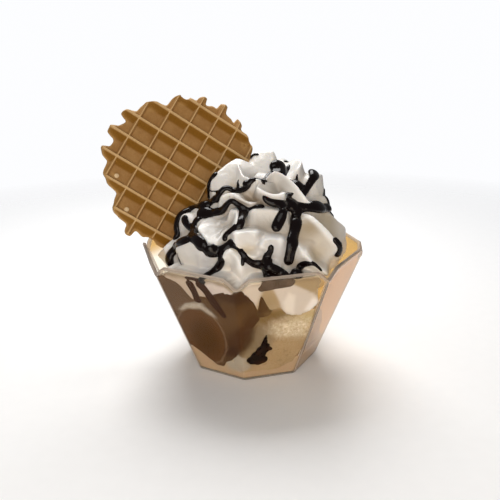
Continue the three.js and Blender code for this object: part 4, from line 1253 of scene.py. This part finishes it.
def hollow_share(rays, hollow):
    """1 in the middle of a scooped face or a bulge, fading to 0 round it."""
    azimuth, elevation = hollow["at"]
    middle = directions(azimuth, elevation)
    across = directions(azimuth + 90, 0)
    up = np.cross(across, -middle)
    off = (rays - middle) * CREAM_REACH
    return np.exp(-((off @ across) / hollow["half"][0]) ** 2 - ((off @ up) / hollow["half"][1]) ** 2)


def share_round(azimuth, middle, width):
    """1 at one azimuth, fading to 0 on both sides."""
    off = (azimuth - middle + 540) % 360 - 180
    return np.exp(-(off / width) ** 2)


def cream_points(azimuth, elevation):
    """The cream's skin in the given directions, and how high each point stands on its folds."""
    rays = directions(azimuth, elevation)
    turn = np.radians(azimuth)
    groove, recess, plug = CREAM["groove"], CREAM["recess"], CREAM["plug"]
    valley = groove["elevation"] + groove["side"] * np.sin(turn) + groove["front"] * np.cos(turn)
    base = np.interp(np.maximum(elevation, 0), *np.array(MOUND_PROFILE, float).T)
    base -= groove["depth"] * np.exp(-((elevation - valley) / groove["width"]) ** 2)
    pulled = share_round(azimuth, recess["azimuth"], recess["width"])
    pulled = pulled * (1 - smoothstep(elevation, recess["from"], recess["to"]))
    lift, sideways = crest_fold(rays)
    for hollow in HOLLOWS:
        lift = lift - hollow["depth"] * hollow_share(rays, hollow)
    swell = sum(bulge["rise"] * hollow_share(rays, bulge) for bulge in BULGES)
    mound = base + lift * (1 - pulled) - recess["depth"] * pulled
    gap = np.max([share_round(azimuth, middle, width) for middle, width in plug["gaps"]], 0)
    reach = plug["reach"] - (plug["reach"] - plug["right_reach"]) * gap
    behind = smoothstep(rays[:, 1] * reach, -plug["slope"], plug["slope"])
    depth = plug["front"] + (plug["back"] - plug["front"]) * behind
    flat, steep = np.hypot(rays[:, 0], rays[:, 1]), np.abs(rays[:, 2])
    below = ((flat / reach) ** plug["square"] + (steep / depth) ** plug["square"]) ** (-1 / plug["square"])
    share = smoothstep(-elevation, -2, 8)
    radius = mound + (below - mound) * share + swell
    return CREAM_CENTRE + rays * radius[:, None] + sideways * (1 - share)[:, None], lift


def cream_surface(azimuth, elevation):
    """The cream's skin with its fine unevenness, held inside the cup's walls and flat on the front one."""
    points, lift = cream_points(azimuth, elevation)
    rays = directions(azimuth, elevation)
    points = points + rays * (0.22 * noise(points, 4, 41) + 0.10 * noise(points, 1.7, 42))[:, None]
    wall = distance_to_wall(CREAM_CENTRE, rays, INSET["cream"], CUP["floor"])
    on_wall = CREAM_CENTRE + wall[:, None] * rays
    bearing, height = unrolled(on_wall)
    press = smoothstep(depth_inside(bearing, height, CREAM_OUTLINE), -2.5, 0)
    press *= 1 - smoothstep(height - rim_above(bearing), -2.2, 0.2)
    points += (on_wall - points) * press[:, None]
    return press_on_wall(points, INSET["cream"]), lift


def standing_out(lift, reaches):
    """How far the cream stands above what is round it, in millimetres: negative in its hollows."""
    around = np.zeros_like(lift)
    for reach in reaches:
        wide = np.pad(lift, ((reach, reach), (0, 0)), "edge")
        level = sum(wide[reach + row:len(wide) - reach + row] for row in (-reach, 0, reach)) / 3
        around += sum(np.roll(level, shift, 1) for shift in (-2 * reach, -reach, 0, reach, 2 * reach)) / 5
    return (lift - around / len(reaches)).ravel()


# Painted shade on the cream pressed behind the wall, as it shows through it, in order: outline, how soft its
# edge is, and tone.
PRESSED_TONES = [
    {"edge": 2.0, "tone": (0.36, 0.29, 0.245), "outline": [(-70, 30), (-70, 58), (0, 58), (0, 30)]},
    {"edge": 2.5, "tone": (0.47, 0.42, 0.42), "outline": [(-26, 46), (-24, 52), (-8, 56), (4, 52),
     (-2, 44), (-14, 42)]},
    {"edge": 2.0, "tone": (0.3, 0.22, 0.125), "outline": [(-4, 30), (-5, 48), (8, 56), (45, 58),
     (45, 30)]},
    {"edge": 2.0, "tone": (0.5, 0.44, 0.4), "outline": [(-5, 46), (-4, 51), (6, 53), (5, 48), (2, 41)]},
    {"edge": 1.6, "tone": (0.5, 0.45, 0.43), "outline": [(10, 49), (14, 43), (16.5, 38), (22, 32),
     (35, 32), (39, 38), (35, 43), (29, 46), (20, 50)]},
    {"edge": 2.0, "tone": (0.68, 0.66, 0.68), "outline": [(30.5, 36), (34, 34.5), (39, 37.5), (37, 41),
     (33, 42)]},
    {"edge": 2.0, "tone": (0.62, 0.58, 0.56), "outline": [(19, 46), (17, 41), (19, 36.5), (25, 34),
     (24, 38), (23, 44)]},
]

# A painted reflection of the lip: a darker strip on the cream under the rim, how far it reaches down, and its
# tone.
RIM_LIP_REFLECTION = {"down": 4.6, "tone": (0.15, 0.105, 0.06)}


def cream_tones(points, lift, azimuth, elevation):
    """Painted shade in the hollows and on the cream pressed on the wall, painted light on the folds, and a
    painted lip reflection.
    """
    bearing, height = unrolled(points)
    past_wall = (points[:, :2] @ FACET_NORMALS.T).max(1) - apothem(height, CUP["wall"])
    pressed = smoothstep(past_wall, -0.2, 0.1) * (height < CUP["height"] + 1)
    tone = np.tile((0.74, 0.715, 0.68), (len(points), 1))
    heights = lift.reshape(-1, CREAM["columns"])
    sunk, proud = -standing_out(heights, (5, 9, 13)), standing_out(heights, (2, 4))
    above = smoothstep(elevation, 0, 8)
    # Painted shade in the hollows between the folds.
    tone = blend_tone(tone, smoothstep(sunk, 0.1, 2.2) * above * TONE_SHARE, (0.50, 0.42, 0.33))
    rays = directions(azimuth, elevation)
    # Painted shade in each scooped face, and on the lobes where a hollow has no depth.
    for hollow in HOLLOWS:
        tone = blend_tone(tone, TONE_SHARE * hollow_share(rays, hollow), hollow["tone"])
    # Painted light on the crests of the folds.
    tone = blend_tone(tone, smoothstep(proud, 0.3, 1.5) * above * TONE_SHARE, (0.95, 0.94, 0.92))
    # Painted shade on the cream pressed behind the wall, patch by patch.
    for patch in PRESSED_TONES:
        soft = patch["edge"] / 2
        inside = smoothstep(depth_inside(bearing, height, patch["outline"]), -soft, soft)
        tone = blend_tone(tone, pressed * inside, patch["tone"])
    # Painted reflection of the lip: a darker strip on the cream under the rim, stronger on the left.
    below_rim = rim_above(bearing) - height + 0.7 * noise(points, 4, 45)
    near_wall = smoothstep(past_wall, -5, -2) * smoothstep(below_rim, -0.6, 0.2)
    smear_and_lip_reflection = near_wall * (1 - smoothstep(below_rim, RIM_LIP_REFLECTION["down"] - 2, RIM_LIP_REFLECTION["down"]))
    return blend_tone(tone, smear_and_lip_reflection * (0.85 - 0.5 * smoothstep(bearing, -12, 0)), RIM_LIP_REFLECTION["tone"])


def make_cream():
    columns, rows = CREAM["columns"], CREAM["rows"]
    azimuth = np.arange(columns) * 360 / columns
    elevation = np.concatenate([np.linspace(89.5, -6, rows), np.linspace(-8, -89, CREAM["plug_rows"])])
    azimuth, elevation = (part.ravel() for part in np.meshgrid(azimuth, elevation))
    points, lift = cream_surface(azimuth, elevation)
    tone = cream_tones(points, lift, azimuth, elevation)
    points, faces = capped_rings(points.reshape(-1, columns, 3))
    tone = np.vstack([tone, tone[:1], tone[-1:]])
    cream = make_mesh("cream_folds", points, faces, cream_material(), values={"tone": tone})
    finish_piece(cream, "whipped_cream", "whipped_cream")


# Sauce

def tube(path, normals, radius, flatten, sides=12):
    """Rings round a path, closed at the ends. Radius is one number for each point of the path."""
    forward = np.gradient(path, axis=0)
    forward /= np.linalg.norm(forward, axis=1)[:, None]
    across = np.cross(forward, normals)
    across /= np.linalg.norm(across, axis=1)[:, None]
    upward = np.cross(across, forward)
    angle = np.arange(sides) * 2 * math.pi / sides
    sideways = across[:, None] * np.cos(angle)[None, :, None]
    raised = upward[:, None] * np.sin(angle)[None, :, None] * flatten
    return capped_rings(path[:, None] + radius[:, None, None] * (sideways + raised))


def strand_radius(path, width):
    """Half the width along a strand, with round ends and a slow swell."""
    run = np.concatenate([[0], np.cumsum(np.linalg.norm(np.diff(path, axis=0), axis=1))])
    first, last = width
    half = (first + (last - first) * run / run[-1]) / 2 * STRAND_SWELL
    left = np.clip(np.minimum(run, run[-1] - run) / half, 0, 1)
    swell = 1 + 0.10 * np.sin(run * 0.55 + first * 7) + 0.08 * np.sin(run * 0.23 + first * 3)
    return half * swell * np.sqrt(np.clip(1 - (1 - left) ** 2, 0.03, 1))


def strand(width, route):
    """A strand that follows the cream's skin."""
    rays = route_directions(route, 0.7)
    azimuth = np.degrees(np.arctan2(rays[:, 0], -rays[:, 1]))
    elevation = np.degrees(np.arcsin(np.clip(rays[:, 2], -1, 1)))
    path, _ = cream_surface(azimuth, elevation)
    for _ in range(2):
        path[1:-1] = (path[:-2] + 2 * path[1:-1] + path[2:]) / 4
    radius = strand_radius(path, width)
    return tube(path + rays * radius[:, None] * 0.05, rays, radius, 0.62)


def wall_drip(width, route):
    """A strand flattened on the inside of the wall."""
    route = smooth_route(route, 0.8)
    path = wall_point(route[:, 0], route[:, 1], INSET["cream"] + 0.1)
    outward = path * (1, 1, 0)
    outward /= np.linalg.norm(outward, axis=1)[:, None]
    points, faces = tube(path, outward, strand_radius(path, width), 0.9)
    return press_on_wall(points, INSET["sauce"]), faces


def back_drizzle():
    zigzag = BACK_ZIGZAG
    span = zigzag["to"] - zigzag["from"]
    strokes = zigzag["strokes"]
    heights = [zigzag["high" if stroke % 2 else "low"] for stroke in range(strokes + 1)]
    route = [(zigzag["from"] + span * stroke / strokes, height) for stroke, height in enumerate(heights)]
    out = [{"width": zigzag["width"], "route": route}]
    for line in BACK_LINES:
        shares = np.arange(13) / 12
        azimuth = line["from"] + (line["to"] - line["from"]) * shares
        elevation = line["elevation"] + line["wave"] * np.sin(shares * line["cycles"] * 2 * math.pi)
        out.append({"width": line["width"], "route": list(zip(azimuth, elevation))})
    return out


def join_shells(shells):
    """Points and faces of several shells as one."""
    points, faces, start = [], [], 0
    for shell_points, shell_faces in shells:
        points.append(shell_points)
        faces += [tuple(corner + start for corner in face) for face in shell_faces]
        start += len(shell_points)
    return np.vstack(points), faces


def melted_shells(name, shells, material, join, unevenness=0.0):
    """Melts shells into one piece, flat where it touches the wall. Gives the piece and its points."""
    piece = make_mesh(name, *join_shells(shells), material)
    melt_together(piece, *join)
    points = mesh_points(piece)
    if unevenness:
        points += unevenness * noise(points, 1.6, 51)[:, None]
    points = press_on_wall(points, INSET["sauce"])
    set_points(piece, points)
    return piece, points


def make_sauce():
    shells = [strand(**line) for line in DRIZZLE + THIN_DRIZZLE + back_drizzle()]
    sauce, points = melted_shells("sauce_drizzle", shells, sauce_material(0.22), JOIN_DRIZZLE)
    add_values(sauce.data, {"thin": np.zeros(len(points))})
    finish_piece(sauce, "chocolate_sauce", "whipped_cream")


def settle_on_wall(name, lines, material):
    """One piece of the strands on the wall, which replaces no node."""
    shells = [wall_drip(line["width"], line["route"]) for line in lines]
    piece, points = melted_shells(name, shells, material, JOIN_ON_WALL)
    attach(piece, BODY)
    return piece, points


def smear_tones(points):
    """Each point has the tone of the strip of chocolate on the wall that it is nearest to."""
    nearest = np.full(len(points), 1e9)
    tone = np.zeros((len(points), 3))
    for smear_and_lip_reflection in WALL_SMEARS:
        route = smooth_route(smear_and_lip_reflection["route"], 0.8)
        path = wall_point(route[:, 0], route[:, 1], INSET["sauce"])
        away = np.linalg.norm(points[:, None] - path[None], axis=2).min(1)
        tone[away < nearest] = smear_and_lip_reflection["tone"]
        nearest = np.minimum(nearest, away)
    return tone * (1 + 0.25 * noise(points, 1.6, 91))[:, None]


def sauce_on_plastic():
    """Sauce with a dull brown shine, as it looks through the wall."""
    return sauce_material(0.05, (0.8, 0.3, 0.2))


def make_wall_drips():
    drips, points = settle_on_wall("sauce_on_wall", WALL_DRIPS, sauce_on_plastic())
    add_values(drips.data, {"thin": np.full(len(points), 0.35)})
    material = ice_cream_material("chocolate_smear", 0.42, 0.1, 0)
    smears, points = settle_on_wall("chocolate_on_wall", WALL_SMEARS, material)
    add_values(smears.data, {"tone": smear_tones(points), "grainy": np.full(len(points), 0.6)})


def make_dollop():
    shells = []
    for azimuth, height, radius in DOLLOP:
        centre = wall_point(azimuth, height, CUP["wall"] + 0.6 * radius)
        points, faces = capped_rings(sphere_directions(12, 20) * radius * 1.08)
        shells.append((points + centre, faces))
    dollop, points = melted_shells("sauce_dollop_soft", shells, sauce_on_plastic(), JOIN_DOLLOP, 0.12)
    add_values(dollop.data, {"thin": np.clip(0.35 * noise(points, 2.5, 52), 0, 1)})
    finish_piece(dollop, "chocolate_sauce", "sauce_dollop")


add_camera()
add_surroundings()
make_cup()
make_wafer()
make_scoop("chocolate_ice", CHOCOLATE, [CHOCOLATE_OUTLINE], INSET["chocolate"], chocolate_tones,
           ice_cream_material("chocolate_ice", 0.42, 0.22, 0), "chocolate_ice_cream", "chocolate_scoop", 61)
make_scoop("vanilla_ice", VANILLA, [VANILLA_OUTLINE, VANILLA_BACK_OUTLINE], INSET["vanilla"], vanilla_tones,
           ice_cream_material("vanilla_ice", 0.4, 0.3), "vanilla_ice_cream", "vanilla_scoop", 71)
make_pool()
make_cream()
make_sauce()
make_wall_drips()
make_dollop()
